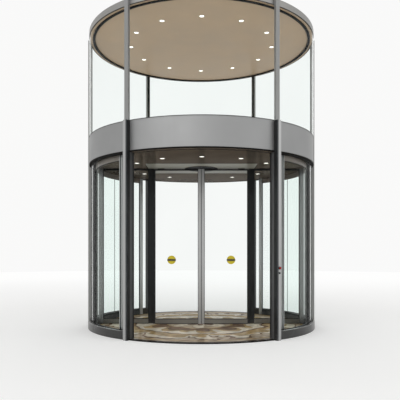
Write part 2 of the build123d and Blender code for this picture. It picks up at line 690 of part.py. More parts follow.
def rotor_nodes():
    """All pieces that turn, with the two sliding leaves."""
    light_circle = ROTOR_CEILING_RADIUS - CEILING_LIGHT_INSET
    light_angles = [FRONT + angle for angle in CEILING_LIGHT_ANGLES]
    nodes = {
        "ceiling_bridge": ceiling_bridge(),
        "ceiling_front": [ceiling_segment(-1)],
        "ceiling_rear": [ceiling_segment(1)],
        "ceiling_downlights": downlights(light_circle, ROTOR_CEILING_BOTTOM, light_angles),
        "hub_cap": hub_cap(),
        "slide_track": [slide_track()],
        "rotor_hub": [rotor_hub()],
        "end_stiles": [end_stile(side) for side in (-1, 1)],
        "side_frames": [side_frame(side) for side in (-1, 1)],
        "side_glass": [side_glass(side) for side in (-1, 1)],
        "shield_rails": [shield_bottom_rail(middle) for middle in (LEFT, RIGHT)],
        "shield_top_rails": [shield_top_rail(middle) for middle in (LEFT, RIGHT)],
        "shield_glass": [shield_glass(middle) for middle in (LEFT, RIGHT)],
        "shield_stiles": [shield_stile(angle) for angle in shield_corner_angles()],
        "shield_brushes": [shield_brush(angle) for angle in shield_corner_angles()],
    }
    for name, side in (("left", -1), ("right", 1)):
        nodes["leaf_frame_" + name] = [leaf_frame(side)]
        nodes["leaf_glass_" + name] = [leaf_glass(side)]
        nodes["meeting_stile_" + name] = [meeting_stile(side)]
    return nodes


def write_nodes():
    """Write one STEP file for each node."""
    os.makedirs("parts", exist_ok=True)
    nodes = {**lower_storey_nodes(), **upper_storey_nodes(), **rotor_nodes()}
    for name, shapes in nodes.items():
        solids = [solid for shape in shapes for solid in shape.solids()]
        shape = solids[0] if len(solids) == 1 else Compound(children=solids)
        export_step(shape, "parts/" + name + ".step")
    print(len(nodes), "nodes")


write_nodes()
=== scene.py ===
import json
import logging
import math
from dataclasses import dataclass, field
from enum import Enum
from typing import ClassVar, Iterable, Optional, Sequence, Union

import bpy
from mathutils import Matrix, Vector

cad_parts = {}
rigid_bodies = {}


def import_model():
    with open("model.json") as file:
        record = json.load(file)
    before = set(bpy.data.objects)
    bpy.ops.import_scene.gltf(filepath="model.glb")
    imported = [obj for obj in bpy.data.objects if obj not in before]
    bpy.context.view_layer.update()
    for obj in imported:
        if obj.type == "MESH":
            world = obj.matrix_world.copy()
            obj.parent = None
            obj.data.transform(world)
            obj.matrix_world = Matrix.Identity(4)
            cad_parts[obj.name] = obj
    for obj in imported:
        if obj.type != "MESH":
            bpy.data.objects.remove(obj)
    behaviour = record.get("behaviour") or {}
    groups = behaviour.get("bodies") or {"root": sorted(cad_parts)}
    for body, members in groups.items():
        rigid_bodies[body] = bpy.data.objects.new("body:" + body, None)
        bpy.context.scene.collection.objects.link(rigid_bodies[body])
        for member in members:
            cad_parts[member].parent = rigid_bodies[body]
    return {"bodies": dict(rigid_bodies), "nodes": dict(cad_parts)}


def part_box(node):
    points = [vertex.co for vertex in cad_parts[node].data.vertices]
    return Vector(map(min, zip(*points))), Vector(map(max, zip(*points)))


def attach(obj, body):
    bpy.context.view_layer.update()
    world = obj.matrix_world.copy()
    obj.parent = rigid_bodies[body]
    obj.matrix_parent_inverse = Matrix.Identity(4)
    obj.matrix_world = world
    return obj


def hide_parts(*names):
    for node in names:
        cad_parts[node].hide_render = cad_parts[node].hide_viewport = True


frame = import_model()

LOG = logging.getLogger("revolving_door")

Span = tuple[float, float]
Point = tuple[float, float]
Place = tuple[float, float, float]
Colour = tuple[float, float, float]
Profile = tuple[Point, ...]
Node = bpy.types.Node
Tree = bpy.types.NodeTree
Socket = bpy.types.NodeSocket
Outputs = bpy.types.NodeOutputs
Material = bpy.types.Material

MILLIMETRE = 0.001
QUARTER_TURN = 90.0
HALF_TURN = 180.0
FULL_TURN = 360.0
UNIT: Span = (0.0, 1.0)
BOTH_WAYS = (-1.0, 1.0)
UP = Vector((0.0, 0.0, 1.0))


class Body(Enum):
    """The moving bodies of the door."""

    DRUM = "drum"
    ROTOR = "rotor"
    LEFT_LEAF = "left_leaf"
    RIGHT_LEAF = "right_leaf"


class Slot(Enum):
    """The finishes that the door's record names."""

    LIGHT_METAL = "light_metal"
    DARK_METAL = "dark_metal"
    FASCIA_METAL = "fascia_metal"
    PLINTH_METAL = "plinth_metal"
    CLEAR_GLASS = "clear_glass"
    CEILING_GLOSS = "ceiling_gloss"
    BRIDGE_PANEL = "bridge_panel"
    BLACK_COVER = "black_cover"
    GASKET = "gasket"
    BRUSH = "brush"
    LAMP = "lamp"
    STONE = "stone"
    UPPER_PANEL = "upper_panel"
    STEEL = "steel"
    STOP_RED = "stop_red"
    SWITCH_BLACK = "switch_black"


class Shade(Enum):
    """Finishes beside the slots' own, for trim and for nodes of another shade; several are darker copies of
    the light metal that paint shade onto parts.
    """

    BEZEL = "bezel_metal"
    SILICONE = "clear_silicone"
    POST = "slate_post_coat"
    RAIL = "slate_rail_coat"
    MARKER = "marker_film"
    SCREW = "screw_steel"
    END_STILE = "shaded_side_metal"
    SIDE_MULLION = "anodised_side_metal"
    UPPER_MULLION = "anodised_upper_metal"
    HEAD_RING = "head_ring_metal"
    KICK_PLATE = "kick_plate_metal"
    TOP_RAIL = "bronze_rail_coat"
    MATT_BLACK = "matt_black_coat"
    ROOF = "roof_sheet_coat"


class Stone(Enum):
    """The floor's stones: their colour, and the brightness of their veins beside it."""

    BROWN = ((0.250, 0.160, 0.105), 0.5)
    GOLD = ((0.510, 0.360, 0.180), 0.55)
    CREAM = ((0.800, 0.710, 0.570), 0.62)
    DARK = ((0.050, 0.036, 0.027), 2.0)
    BEIGE = ((0.530, 0.425, 0.310), 0.6)


Choice = Union[Slot, Shade]

SECOND_COATS: dict[str, Choice] = {
    "door_posts": Shade.POST,
    "side_posts": Slot.DARK_METAL,
    "thresholds": Shade.MATT_BLACK,
    # The head channel is the glass's real channel; its near-glossless matt black also paints the shadow gap
    # above the drum glass.
    "head_channel": Shade.MATT_BLACK,
    "shield_rails": Shade.RAIL,
    # The upper mullions take a darker, half-metallic copy of the light metal: painted shade that damps
    # their lamp-lit brightness.
    "upper_mullions": Shade.UPPER_MULLION,
    # The side mullions take a darker, less metallic copy of the light metal: painted shade.
    "side_mullion_left": Shade.SIDE_MULLION,
    "side_mullion_right": Shade.SIDE_MULLION,
    # The upper head ring takes a darker copy of the light metal: painted shade.
    "upper_head_ring": Shade.HEAD_RING,
    # The end stiles take a darker copy of the light metal: painted shade.
    "end_stiles": Shade.END_STILE,
    "shield_top_rails": Shade.TOP_RAIL,
}

# Each band's stone, inner and outer share of the floor's radius, petals and their swing.
FLOOR_BANDS = (
    (Stone.DARK, 0.965, 1.10, 1.0, 0.0),
    (Stone.GOLD, 0.90, 0.93, 1.0, 0.0),
    (Stone.BROWN, 0.60, 0.72, 7.0, 0.16),
    (Stone.CREAM, 0.60, 0.68, 7.0, 0.165),
    (Stone.GOLD, 0.60, 0.645, 7.0, 0.11),
    (Stone.BROWN, 0.575, 0.60, 1.0, 0.0),
    (Stone.CREAM, 0.30, 0.575, 1.0, 0.0),
    (Stone.GOLD, 0.30, 0.37, 5.0, 0.17),
    (Stone.BROWN, 0.30, 0.34, 5.0, 0.11),
    (Stone.GOLD, 0.285, 0.30, 1.0, 0.0),
    (Stone.BEIGE, 0.0, 0.285, 1.0, 0.0),
    (Stone.CREAM, 0.0, 0.12, 3.0, 0.15),
    (Stone.BROWN, 0.0, 0.06, 3.0, 0.08),
)

# Turned profiles: radius and distance along the axis of each point, in millimetres.
BEZEL: Profile = ((45.0, 5.0), (45.0, 2.0), (43.0, 0.3), (39.0, 0.0), (36.5, 1.2), (36.0, 3.0), (36.0, 5.0))
LENS: Profile = ((36.0, 4.8), (36.0, 2.6), (28.0, 2.0), (14.0, 1.6), (0.5, 1.5))
SCREW: Profile = ((5.0, -1.0), (5.0, 0.3), (4.0, 0.9), (2.2, 1.0), (2.0, 0.4), (0.3, 0.4))
DISC: Profile = ((77.2, 0.0), (77.5, 0.1), (77.4, 0.3), (38.75, 0.35), (0.5, 0.35))
ROOF: Profile = ((1893.0, 0.5), (1893.0, 6.0), (1891.0, 8.0), (2.0, 8.0))
COLLAR: Profile = ((24.0, 0.0), (24.0, 5.0), (22.5, 7.0), (18.0, 8.0), (12.0, 8.0))
BUTTON: Profile = (
    (11.0, 7.5), (11.0, 14.0), (14.0, 16.5), (19.0, 18.5), (20.0, 21.5), (19.5, 25.0), (17.0, 28.0),
    (11.0, 29.6), (0.4, 30.0),
)
BARREL: Profile = (
    (16.0, 0.0), (16.0, 5.0), (14.5, 7.0), (9.0, 7.2), (9.0, 17.0), (8.0, 18.0), (3.0, 18.0), (2.6, 15.0),
    (0.4, 15.0),
)


def rgba(colour: object) -> object:
    """Give a plain colour its alpha, and pass an output socket through."""
    return (*colour, 1.0) if isinstance(colour, tuple) and len(colour) == 3 else colour


def scaled(colour: Colour, factor: float) -> Colour:
    """Make a colour darker or lighter by a factor."""
    return tuple(min(1.0, part * factor) for part in colour)


class NodeBench:
    """Places shader nodes in one node tree and links them."""

    column = 190.0
    row = 60.0
    row_count = 4
    mixed_inputs = (6, 7)
    mixed_output = 2

    def __init__(self, tree: Tree) -> None:
        """Start a bench for a node tree."""
        self.tree = tree
        self.count = 0

    def add(self, kind: str, *values: object, **settings: object) -> Node:
        """Add one node.

        Args:
            kind: The node's type name.
            *values: Plain values or output sockets for its inputs, in their order.
            **settings: Properties to set on the node.

        Returns:
            The new node.
        """
        node = self.tree.nodes.new(kind)
        node.location = (self.column * self.count, -self.row * (self.count % self.row_count))
        self.count += 1
        for name, value in settings.items():
            setattr(node, name, value)
        for socket, value in zip(node.inputs, values):
            self.feed(socket, value)
        return node

    def feed(self, socket: Socket, value: object) -> None:
        """Link an output to a socket, or set the socket's own value.

        Args:
            socket: The input socket.
            value: An output socket or a plain value.
        """
        if isinstance(value, bpy.types.NodeSocket):
            self.tree.links.new(value, socket)
        else:
            socket.default_value = value

    def fill(self, node: Node, values: dict[str, object]) -> None:
        """Feed several inputs of a node by their names."""
        for name, value in values.items():
            self.feed(node.inputs[name], value)

    def place(self, group: Tree, **values: object) -> Outputs:
        """Place a shared group.

        Args:
            group: The group.
            **values: Values for the group's inputs.

        Returns:
            The outputs of the group's node.
        """
        node = self.add("ShaderNodeGroup", node_tree=group)
        self.fill(node, values)
        return node.outputs

    def math(self, operation: str, *values: object) -> Socket:
        """Work out numbers or output sockets with a math node."""
        return self.add("ShaderNodeMath", *values, operation=operation).outputs[0]

    def spread(self, value: Socket, given: Span, wanted: Span = UNIT) -> Socket:
        """Map a value from one range to another, held inside the new range."""
        return self.add("ShaderNodeMapRange", value, *given, *wanted, clamp=True).outputs[0]

    def blend(self, mask: Socket, first: object, second: object) -> Socket:
        """Mix two colours.

        Args:
            mask: The mask's output socket.
            first: Colour where the mask is 0.
            second: Colour where the mask is 1.

        Returns:
            The mixed colour.
        """
        node = self.add("ShaderNodeMix", data_type="RGBA")
        self.fill(node, {"Factor": mask})
        for index, colour in zip(self.mixed_inputs, (first, second)):
            self.feed(node.inputs[index], rgba(colour))
        return node.outputs[self.mixed_output]

    def tone(self, mask: Socket, colour: Colour, tones: Span) -> Socket:
        """Vary a colour by a mask, between two factors of its brightness."""
        return self.blend(mask, *(scaled(colour, tone) for tone in tones))

    def noise(self, place: Socket, scale: object, detail: float, warp: float = 0.0) -> Socket:
        """Add a noise texture.

        Args:
            place: The coordinates' output socket.
            scale: The noise's scale.
            detail: How many finer layers it has.
            warp: How far it is distorted.

        Returns:
            The noise's value.
        """
        node = self.add("ShaderNodeTexNoise")
        self.fill(node, {"Vector": place, "Scale": scale, "Detail": detail, "Distortion": warp})
        return node.outputs[0]

    def bump(self, height: Socket, strength: float, distance: float) -> Socket:
        """Turn a height into a normal.

        Args:
            height: The height's output socket.
            strength: How strongly it shows.
            distance: The height's size in metres.

        Returns:
            The normal.
        """
        node = self.add("ShaderNodeBump")
        self.fill(node, {"Strength": strength, "Distance": distance, "Height": height})
        return node.outputs[0]

    def own_place(self) -> Socket:
        """Give the object's own coordinates."""
        return self.add("ShaderNodeTexCoord").outputs["Object"]

    def split(self, place: Socket) -> Outputs:
        """Split coordinates into their three parts."""
        return self.add("ShaderNodeSeparateXYZ", place).outputs

    def seen_rays(self) -> Socket:
        """Mask the rays of the camera, of gloss and of glass.

        Returns:
            A value that is 1 for those rays.
        """
        path = self.add("ShaderNodeLightPath").outputs
        seen = self.math("MAXIMUM", path["Is Camera Ray"], path["Is Glossy Ray"])
        return self.math("MAXIMUM", seen, path["Is Transmission Ray"])


class GroupBench(NodeBench):
    """Bench of a shared node group with value sockets."""

    def __init__(self, name: str, inputs: dict[str, float], *outputs: str) -> None:
        """Start a group.

        Args:
            name: The group's name.
            inputs: Input names and their default values.
            *outputs: Output names.
        """
        tree = bpy.data.node_groups.new(name, "ShaderNodeTree")
        for label, value in inputs.items():
            socket = tree.interface.new_socket(label, in_out="INPUT", socket_type="NodeSocketFloat")
            socket.default_value = value
        for label in outputs:
            tree.interface.new_socket(label, in_out="OUTPUT", socket_type="NodeSocketFloat")
        super().__init__(tree)
        self.given = self.add("NodeGroupInput").outputs
        self.result = self.add("NodeGroupOutput")

    def close(self, **values: Socket) -> Tree:
        """Feed the group's outputs and hand the group over."""
        self.fill(self.result, values)
        return self.tree


class Effects:
    """Shader node groups that several finishes share, each built once."""

    grain_cut: Span = (0.3, 0.7)
    cloud_cut: Span = (0.35, 0.65)
    dust_cut: Span = (0.4, 0.7)
    grain_detail = 2.0
    cloud_detail = 3.0
    fine_detail = 4.0

    def __init__(self) -> None:
        """Build all groups."""
        self.streaks = self._streaks()
        self.speckle = self._speckle()
        self.foot_dust = self._foot_dust()
        self.ring_band = self._ring_band()

    def _streaks(self) -> Tree:
        """Build fine upright streaks, as rolling and brushing leave on metal.

        Returns:
            The group.
        """
        bench = GroupBench("upright_streaks", {"Fineness": 260.0, "Length": 1.2}, "Mask")
        sizes = (bench.given[label] for label in ("Fineness", "Fineness", "Length"))
        size = bench.add("ShaderNodeCombineXYZ", *sizes).outputs[0]
        stretched = bench.add("ShaderNodeVectorMath", bench.own_place(), size, operation="MULTIPLY")
        fine = bench.noise(stretched.outputs[0], 1.0, self.fine_detail)
        return bench.close(Mask=bench.spread(fine, self.grain_cut))

    def _speckle(self) -> Tree:
        """Build a fine grain over a slow cloud, as on powder coat and rubber.

        Returns:
            The group.
        """
        bench = GroupBench("speckle", {"Grain": 900.0, "Cloud": 2.5}, "Grain", "Cloud")
        place = bench.own_place()
        grain = bench.noise(place, bench.given["Grain"], self.grain_detail)
        cloud = bench.noise(place, bench.given["Cloud"], self.cloud_detail)
        return bench.close(
            Grain=bench.spread(grain, self.grain_cut), Cloud=bench.spread(cloud, self.cloud_cut)
        )

    def _foot_dust(self) -> Tree:
        """Build dust and scuffs that fade upwards from the floor.

        Returns:
            The group.
        """
        bench = GroupBench("foot_dust", {"Height": 0.25, "Grain": 60.0}, "Mask")
        place = bench.own_place()
        share = bench.math("DIVIDE", bench.split(place)[2], bench.given["Height"])
        fade = bench.spread(share, UNIT, (1.0, 0.0))
        grain = bench.spread(bench.noise(place, bench.given["Grain"], self.fine_detail), self.dust_cut)
        return bench.close(Mask=bench.math("MULTIPLY", fade, grain))

    def _ring_band(self) -> Tree:
        """Build a mask that is 1 on a ring round the door's axis, with an edge in the shape of petals.

        Returns:
            The group.
        """
        inputs = {"Radius": 0.0, "Angle": 0.0, "Inner": 0.5, "Outer": 1.0, "Petals": 12.0, "Swing": 0.0}
        bench = GroupBench("ring_band", inputs, "Mask")
        given = bench.given
        turn = bench.math("MULTIPLY", given["Angle"], given["Petals"])
        wave = bench.math("ABSOLUTE", bench.math("SINE", turn))
        reach = bench.math("ADD", given["Outer"], bench.math("MULTIPLY", wave, given["Swing"]))
        inside = bench.math("LESS_THAN", given["Radius"], reach)
        outside = bench.math("GREATER_THAN", given["Radius"], given["Inner"])
        return bench.close(Mask=bench.math("MULTIPLY", inside, outside))


class Coat(NodeBench):
    """A material in the making, with its Principled shader and the shared effects."""

    def __init__(self, name: str, effects: Optional[Effects] = None) -> None:
        """Start a material.

        Args:
            name: The material's name.
            effects: The shared node groups, where the material needs them.
        """
        self.material = bpy.data.materials.new(name)
        self.material.use_nodes = True
        self.material.node_tree.nodes.clear()
        super().__init__(self.material.node_tree)
        self.effects = effects
        self.shader = self.add("ShaderNodeBsdfPrincipled")
        self.output = self.add("ShaderNodeOutputMaterial", self.shader.outputs[0])

    def apply(self, values: dict[str, object]) -> None:
        """Feed inputs of the Principled shader by their names."""
        self.fill(self.shader, values)

    def speckle(self, grain: float, cloud: float) -> Outputs:
        """Place the shared speckle at a scale of grain and of cloud."""
        return self.place(self.effects.speckle, Grain=grain, Cloud=cloud)


@dataclass(frozen=True)
class Finish:
    """A named finish, whose wire method sets up its material."""

    name: str

    def make(self, effects: Effects) -> Material:
        """Build the material.

        Args:
            effects: The shared node groups.

        Returns:
            The material.
        """
        coat = Coat(self.name, effects)
        coat.apply({"Base Color": self.wire(coat)})
        return coat.material

    def wire(self, coat: Coat) -> Socket:
        """Wire everything but the colour's own socket, and give the colour."""
        raise NotImplementedError(self.name)


@dataclass(frozen=True)
class MetalFinish(Finish):
    """Bare metal, or metal with less metallic gloss, with upright streaks, a cloud in its gloss and dust
    near the floor.
    """

    colour: Colour
    roughness: float
    streak_share: float = 0.06
    fineness: float = 260.0
    length: float = 1.2
    metallic: float = 1.0
    speckle: Span = (700.0, 1.7)
    weights: Span = (0.6, 0.4)
    polish: Span = (0.85, 1.18)
    relief: Span = (0.04, 0.0004)
    dust: float = 0.25
    dust_height: float = 0.3
    dust_tone: float = 0.7

    def wire(self, coat: Coat) -> Socket:
        """Wire the metal.

        Args:
            coat: The material in the making.

        Returns:
            The surface's colour.
        """
        streaks = coat.place(coat.effects.streaks, Fineness=self.fineness, Length=self.length)["Mask"]
        masks = (streaks, coat.speckle(*self.speckle)["Cloud"])
        mixed = coat.math("ADD", *(coat.math("MULTIPLY", *pair) for pair in zip(masks, self.weights)))
        span = tuple(self.roughness * share for share in self.polish)
        coat.apply({
            "Metallic": self.metallic,
            "Roughness": coat.spread(mixed, UNIT, span),
            "Normal": coat.bump(streaks, *self.relief),
        })
        bare = coat.tone(streaks, self.colour, (1.0 - self.streak_share, 1.0 + self.streak_share))
        dusty = coat.place(coat.effects.foot_dust, Height=self.dust_height)["Mask"]
        faint = coat.math("MULTIPLY", dusty, self.dust)
        return coat.blend(faint, bare, scaled(self.colour, self.dust_tone))


@dataclass(frozen=True)
class SpeckledFinish(Finish):
    """One colour with a fine grain over a slow cloud, which coats, rubber and plastic share."""

    colour: Colour
    roughness: float
    grain: float = 1500.0
    cloud: float = 30.0
    tones: Span = (0.92, 1.0)
    polish_mask: str = "Grain"
    polish: Span = (0.8, 1.2)
    relief: float = 0.0
    depth: float = 0.0003
    specular: float = 0.5

    def wire(self, coat: Coat) -> Socket:
        """Wire the speckle in gloss, relief and colour.

        Args:
            coat: The material in the making.

        Returns:
            The surface's colour.
        """
        masks = coat.speckle(self.grain, self.cloud)
        span = tuple(min(1.0, self.roughness * share) for share in self.polish)
        roughness = coat.spread(masks[self.polish_mask], UNIT, span)
        coat.apply({"Roughness": roughness, "Specular IOR Level": self.specular})
        if self.relief > 0.0:
            coat.apply({"Normal": coat.bump(masks["Grain"], self.relief, self.depth)})
        return coat.tone(masks["Cloud"], self.colour, self.tones)


@dataclass(frozen=True)
class PaintFinish(SpeckledFinish):
    """Powder coat or lacquer with a fine peel and dust near the floor."""

    grain: float = 900.0
    cloud: float = 2.2
    tones: Span = (0.92, 1.08)
    polish_mask: str = "Cloud"
    polish: Span = (0.88, 1.12)
    relief: float = 0.06
    depth: float = 0.0002
    dust: float = 0.35
    dust_height: float = 0.22
    dust_grain: float = 45.0
    dust_colour: Colour = (0.26, 0.25, 0.235)

    def wire(self, coat: Coat) -> Socket:
        """Wire the coat and the dust on it.

        Args:
            coat: The material in the making.

        Returns:
            The surface's colour.
        """
        clean = super().wire(coat)
        dusty = coat.place(coat.effects.foot_dust, Height=self.dust_height, Grain=self.dust_grain)["Mask"]
        return coat.blend(coat.math("MULTIPLY", dusty, self.dust), clean, self.dust_colour)


@dataclass(frozen=True)
class MirrorPanelFinish(SpeckledFinish):
    """Dark lacquered panel whose polish mirrors part of what is under it."""

    grain: float = 120.0
    cloud: float = 1.3
    tones: Span = (0.9, 1.1)
    polish_mask: str = "Cloud"
    polish: Span = (0.8, 1.3)
    relief: float = 0.02
    specular: float = 0.0
    mirror_share: float = 0.45
    edge: Colour = (0.200, 0.182, 0.172)

    def wire(self, coat: Coat) -> Socket:
        """Wire the mirroring and the lacquer."""
        coat.apply({"Metallic": self.mirror_share, "Specular Tint": rgba(self.edge)})
        return super().wire(coat)


@dataclass(frozen=True)
class RubberFinish(SpeckledFinish):
    """Matt black rubber, silicone or bristle."""

    grain: float = 500.0
    cloud: float = 3.0
    tones: Span = (1.0, 1.5)
    polish: Span = (0.9, 1.1)
    relief: float = 0.15
    specular: float = 0.3


@dataclass(frozen=True)
class PlasticFinish(SpeckledFinish):
    """Moulded gloss plastic."""

    relief: float = 0.05
    depth: float = 0.0001


@dataclass(frozen=True)
class LampFinish(SpeckledFinish):
    """Opal cover of a downlight, which glows."""

    grain: float = 300.0
    cloud: float = 20.0
    tones: Span = (1.0, 0.96)
    polish: Span = (0.5, 0.7)
    glow: float = 1.6

    def wire(self, coat: Coat) -> Socket:
        """Wire the cover and its glow.

        Args:
            coat: The material in the making.

        Returns:
            The surface's colour.
        """
        colour = super().wire(coat)
        coat.apply({"Emission Color": colour, "Emission Strength": self.glow})
        return colour


@dataclass(frozen=True)
class MarkerFinish(SpeckledFinish):
    """Printed film of the glass markers, yellow with a darker band across the middle."""

    polish: Span = (0.84, 1.04)
    band: Colour = (0.10, 0.085, 0.03)
    level: float = 1.178
    half_band: float = 0.020

    def wire(self, coat: Coat) -> Socket:
        """Wire the film and its band.

        Args:
            coat: The material in the making.

        Returns:
            The surface's colour.
        """
        height = coat.split(coat.own_place())[2]
        away = coat.math("ABSOLUTE", coat.math("SUBTRACT", height, self.level))
        return coat.blend(coat.math("LESS_THAN", away, self.half_band), super().wire(coat), self.band)


@dataclass(frozen=True)
class GlassFinish(Finish):
    """Clear laminated glass with a faint tint and faint smears."""

    tint: Colour
    index: float = 1.02
    smear: float = 0.012
    speckle: Span = (40.0, 1.1)
    tones: Span = (1.0, 1.01)
    shadow_tone: float = 0.98

    def wire(self, coat: Coat) -> Socket:
        """Wire the glass, with a clear shader for its shadow.

        Args:
            coat: The material in the making.

        Returns:
            The surface's colour.
        """
        cloud = coat.speckle(*self.speckle)["Cloud"]
        smears = coat.spread(cloud, UNIT, (0.0, self.smear))
        coat.apply({"Roughness": smears, "Transmission Weight": 1.0, "IOR": self.index})
        clear = coat.add("ShaderNodeBsdfTransparent", rgba(scaled(self.tint, self.shadow_tone)))
        shadow = coat.add("ShaderNodeLightPath").outputs["Is Shadow Ray"]
        mix = coat.add("ShaderNodeMixShader", shadow, coat.shader.outputs[0], clear.outputs[0])
        coat.fill(coat.output, {"Surface": mix.outputs[0]})
        return coat.tone(cloud, self.tint, self.tones)


@dataclass(frozen=True)
class InlaidStoneFinish(Finish):
    """Polished stone floor with rings and petals of several stones round the door's axis."""

    radius: float
    specular: float = 0.003
    polish: Span = (0.10, 0.20)
    drift_noise: Span = (1.5, 2.0)
    drift_middle: float = 0.5
    drift_share: float = 0.22
    drift_turn: float = 1.1
    vein_noise: Place = (4.0, 9.0, 1.8)
    vein_cut: Span = (0.40, 0.60)

    def wire(self, coat: Coat) -> Socket:
        """Wire the bands of stone and their veins.

        Args:
            coat: The material in the making.

        Returns:
            The surface's colour.
        """
        place = coat.own_place()
        across, along = coat.split(place)[:2]
        squares = coat.math("ADD", *(coat.math("MULTIPLY", part, part) for part in (across, along)))
        drift = coat.math("SUBTRACT", coat.noise(place, *self.drift_noise), self.drift_middle)
        inside = coat.math("SUBTRACT", self.radius * self.radius, squares)
        calm = coat.spread(inside, (0.0, self.radius), (0.0, self.drift_share))
        true_radius = coat.math("DIVIDE", coat.math("SQRT", squares), self.radius)
        radius = coat.math("ADD", true_radius, coat.math("MULTIPLY", drift, calm))
        swirl = coat.math("MULTIPLY", drift, self.drift_turn)
        angle = coat.math("ADD", coat.math("ARCTAN2", along, across), swirl)
        vein = coat.spread(coat.noise(place, *self.vein_noise), self.vein_cut)
        coat.apply({"Roughness": coat.spread(vein, UNIT, self.polish), "Specular IOR Level": self.specular})
        veined = {stone: coat.tone(vein, stone.value[0], (1.0, stone.value[1])) for stone in Stone}
        colour = veined[Stone.BEIGE]
        for stone, inner, outer, petals, swing in FLOOR_BANDS:
            band = coat.place(
                coat.effects.ring_band, Radius=radius, Angle=angle, Inner=inner, Outer=outer, Petals=petals,
                Swing=swing,
            )
            colour = coat.blend(band["Mask"], colour, veined[stone])
        return colour


@dataclass
class Palette:
    """All finishes of the door, made once."""

    effects: Effects
    floor_radius: float
    made: dict[Choice, Material] = field(default_factory=dict)

    def slot_finishes(self) -> dict[Slot, Finish]:
        """Give the finish of each slot.

        Returns:
            The finishes by slot.
        """
        return {
            Slot.LIGHT_METAL: MetalFinish("satin_light_metal", (0.40, 0.402, 0.40), 0.38),
            Slot.DARK_METAL: PaintFinish(
                "dark_powder_coat", (0.0125, 0.013, 0.0135), 0.40, dust=0.16, specular=0.25
            ),
            Slot.FASCIA_METAL: MetalFinish(
                "satin_fascia_sheet", (0.318, 0.320, 0.320), 0.54, 0.035, fineness=150.0, length=0.45
            ),
            Slot.PLINTH_METAL: MetalFinish(
                "dark_plinth_sheet", (0.076, 0.076, 0.075), 0.30, 0.10, fineness=60.0, length=14.0
            ),
            Slot.CLEAR_GLASS: GlassFinish("clear_glass_sheet", (0.965, 0.986, 0.979)),
            Slot.CEILING_GLOSS: MirrorPanelFinish("dark_mirror_ceiling", (0.190, 0.161, 0.132), 0.07),
            Slot.BRIDGE_PANEL: PaintFinish("bridge_panel_coat", (0.31, 0.30, 0.255), 0.42, specular=0.12),
            Slot.BLACK_COVER: PaintFinish("black_cover_coat", (0.010, 0.010, 0.011), 0.55, specular=0.12),
            Slot.GASKET: RubberFinish("black_gasket", (0.012, 0.012, 0.012), 0.6),
            Slot.BRUSH: RubberFinish("black_bristle", (0.010, 0.010, 0.011), 0.85, 1400.0),
            Slot.LAMP: LampFinish("opal_light_cover", (1.0, 0.955, 0.86), 0.5),
            Slot.STONE: InlaidStoneFinish("inlaid_polished_stone", self.floor_radius),
            Slot.UPPER_PANEL: PaintFinish(
                "beige_ceiling_coat", (0.615, 0.450, 0.300), 0.42, tones=(0.96, 1.04), relief=0.02,
                specular=0.25,
            ),
            Slot.STEEL: MetalFinish("brushed_steel", (0.42, 0.42, 0.42), 0.32, fineness=420.0, length=30.0),
            Slot.STOP_RED: PlasticFinish("stop_red_plastic", (0.34, 0.012, 0.013), 0.28),
            Slot.SWITCH_BLACK: PlasticFinish("switch_black_plastic", (0.018, 0.018, 0.020), 0.35),
        }

    @staticmethod
    def shade_finishes() -> tuple[Finish, ...]:
        """Give the finishes beside the slots' own.

        Returns:
            The finishes, each named as its shade.
        """
        return (
            MetalFinish("bezel_metal", (0.60, 0.60, 0.59), 0.22, 0.03),
            RubberFinish("clear_silicone", (0.10, 0.105, 0.10), 0.45),
            PaintFinish("slate_post_coat", (0.072, 0.073, 0.074), 0.36, dust=0.16, specular=0.4),
            PaintFinish("slate_rail_coat", (0.040, 0.044, 0.047), 0.34, dust=0.2, specular=0.4),
            MarkerFinish("marker_film", (0.78, 0.62, 0.02), 0.5),
            MetalFinish("screw_steel", (0.34, 0.34, 0.34), 0.28, 0.05),
            # Painted shade: a darker copy of the light metal for the end stiles.
            MetalFinish("shaded_side_metal", (0.25, 0.25, 0.248), 0.45),
            # Painted shade: a darker, less metallic copy of the light metal for the side mullions.
            MetalFinish("anodised_side_metal", (0.27, 0.272, 0.265), 0.5, metallic=0.3),
            # Painted shade: a darker, half-metallic copy of the light metal for the upper mullions.
            MetalFinish("anodised_upper_metal", (0.29, 0.292, 0.288), 0.45, metallic=0.5),
            # Painted shade: a darker copy of the light metal for the upper head ring.
            MetalFinish("head_ring_metal", (0.30, 0.295, 0.285), 0.45, fineness=90.0, length=30.0),
            MetalFinish("kick_plate_metal", (0.240, 0.232, 0.212), 0.36, fineness=6.0, length=420.0),
            PaintFinish("bronze_rail_coat", (0.200, 0.172, 0.152), 0.34, dust=0.0, specular=0.3),
            PaintFinish("matt_black_coat", (0.012, 0.011, 0.010), 0.6, dust=0.05, specular=0.05),
            PaintFinish("roof_sheet_coat", (0.165, 0.168, 0.170), 0.48, relief=0.10, dust=0.0),
        )

    def mix(self) -> None:
        """Make every finish."""
        choices = {**self.slot_finishes(), **{Shade(item.name): item for item in self.shade_finishes()}}
        self.made = {choice: finish.make(self.effects) for choice, finish in choices.items()}

    def dress_nodes(self, nodes: dict[str, bpy.types.Object]) -> None:
        """Give every CAD node the finish that its slot or its second coat names.

        Args:
            nodes: The frame's nodes by name.
        """
        for name, node in nodes.items():
            for place in node.material_slots:
                slot = Slot(place.material.name.split(".")[0])
                place.material = self.made[SECOND_COATS.get(name, slot)]
            LOG.info("dressed %s", name)


def turned(radius: float, angle: float, level: float) -> Vector:
    """Find the point at a radius, an angle in degrees and a level."""
    turn = math.radians(angle)
    return Vector((radius * math.cos(turn), radius * math.sin(turn), level))


def half_width_angle(width: float, radius: float) -> float:
    """Find the angle that half a width takes at a radius, in degrees."""
    return math.degrees(math.asin(width / 2 / radius))


def chord(radius: float, place: float) -> Span:
    """Find where a line at a distance from the axis meets a circle."""
    half = math.sqrt(radius * radius - place * place)
    return (-half, half)


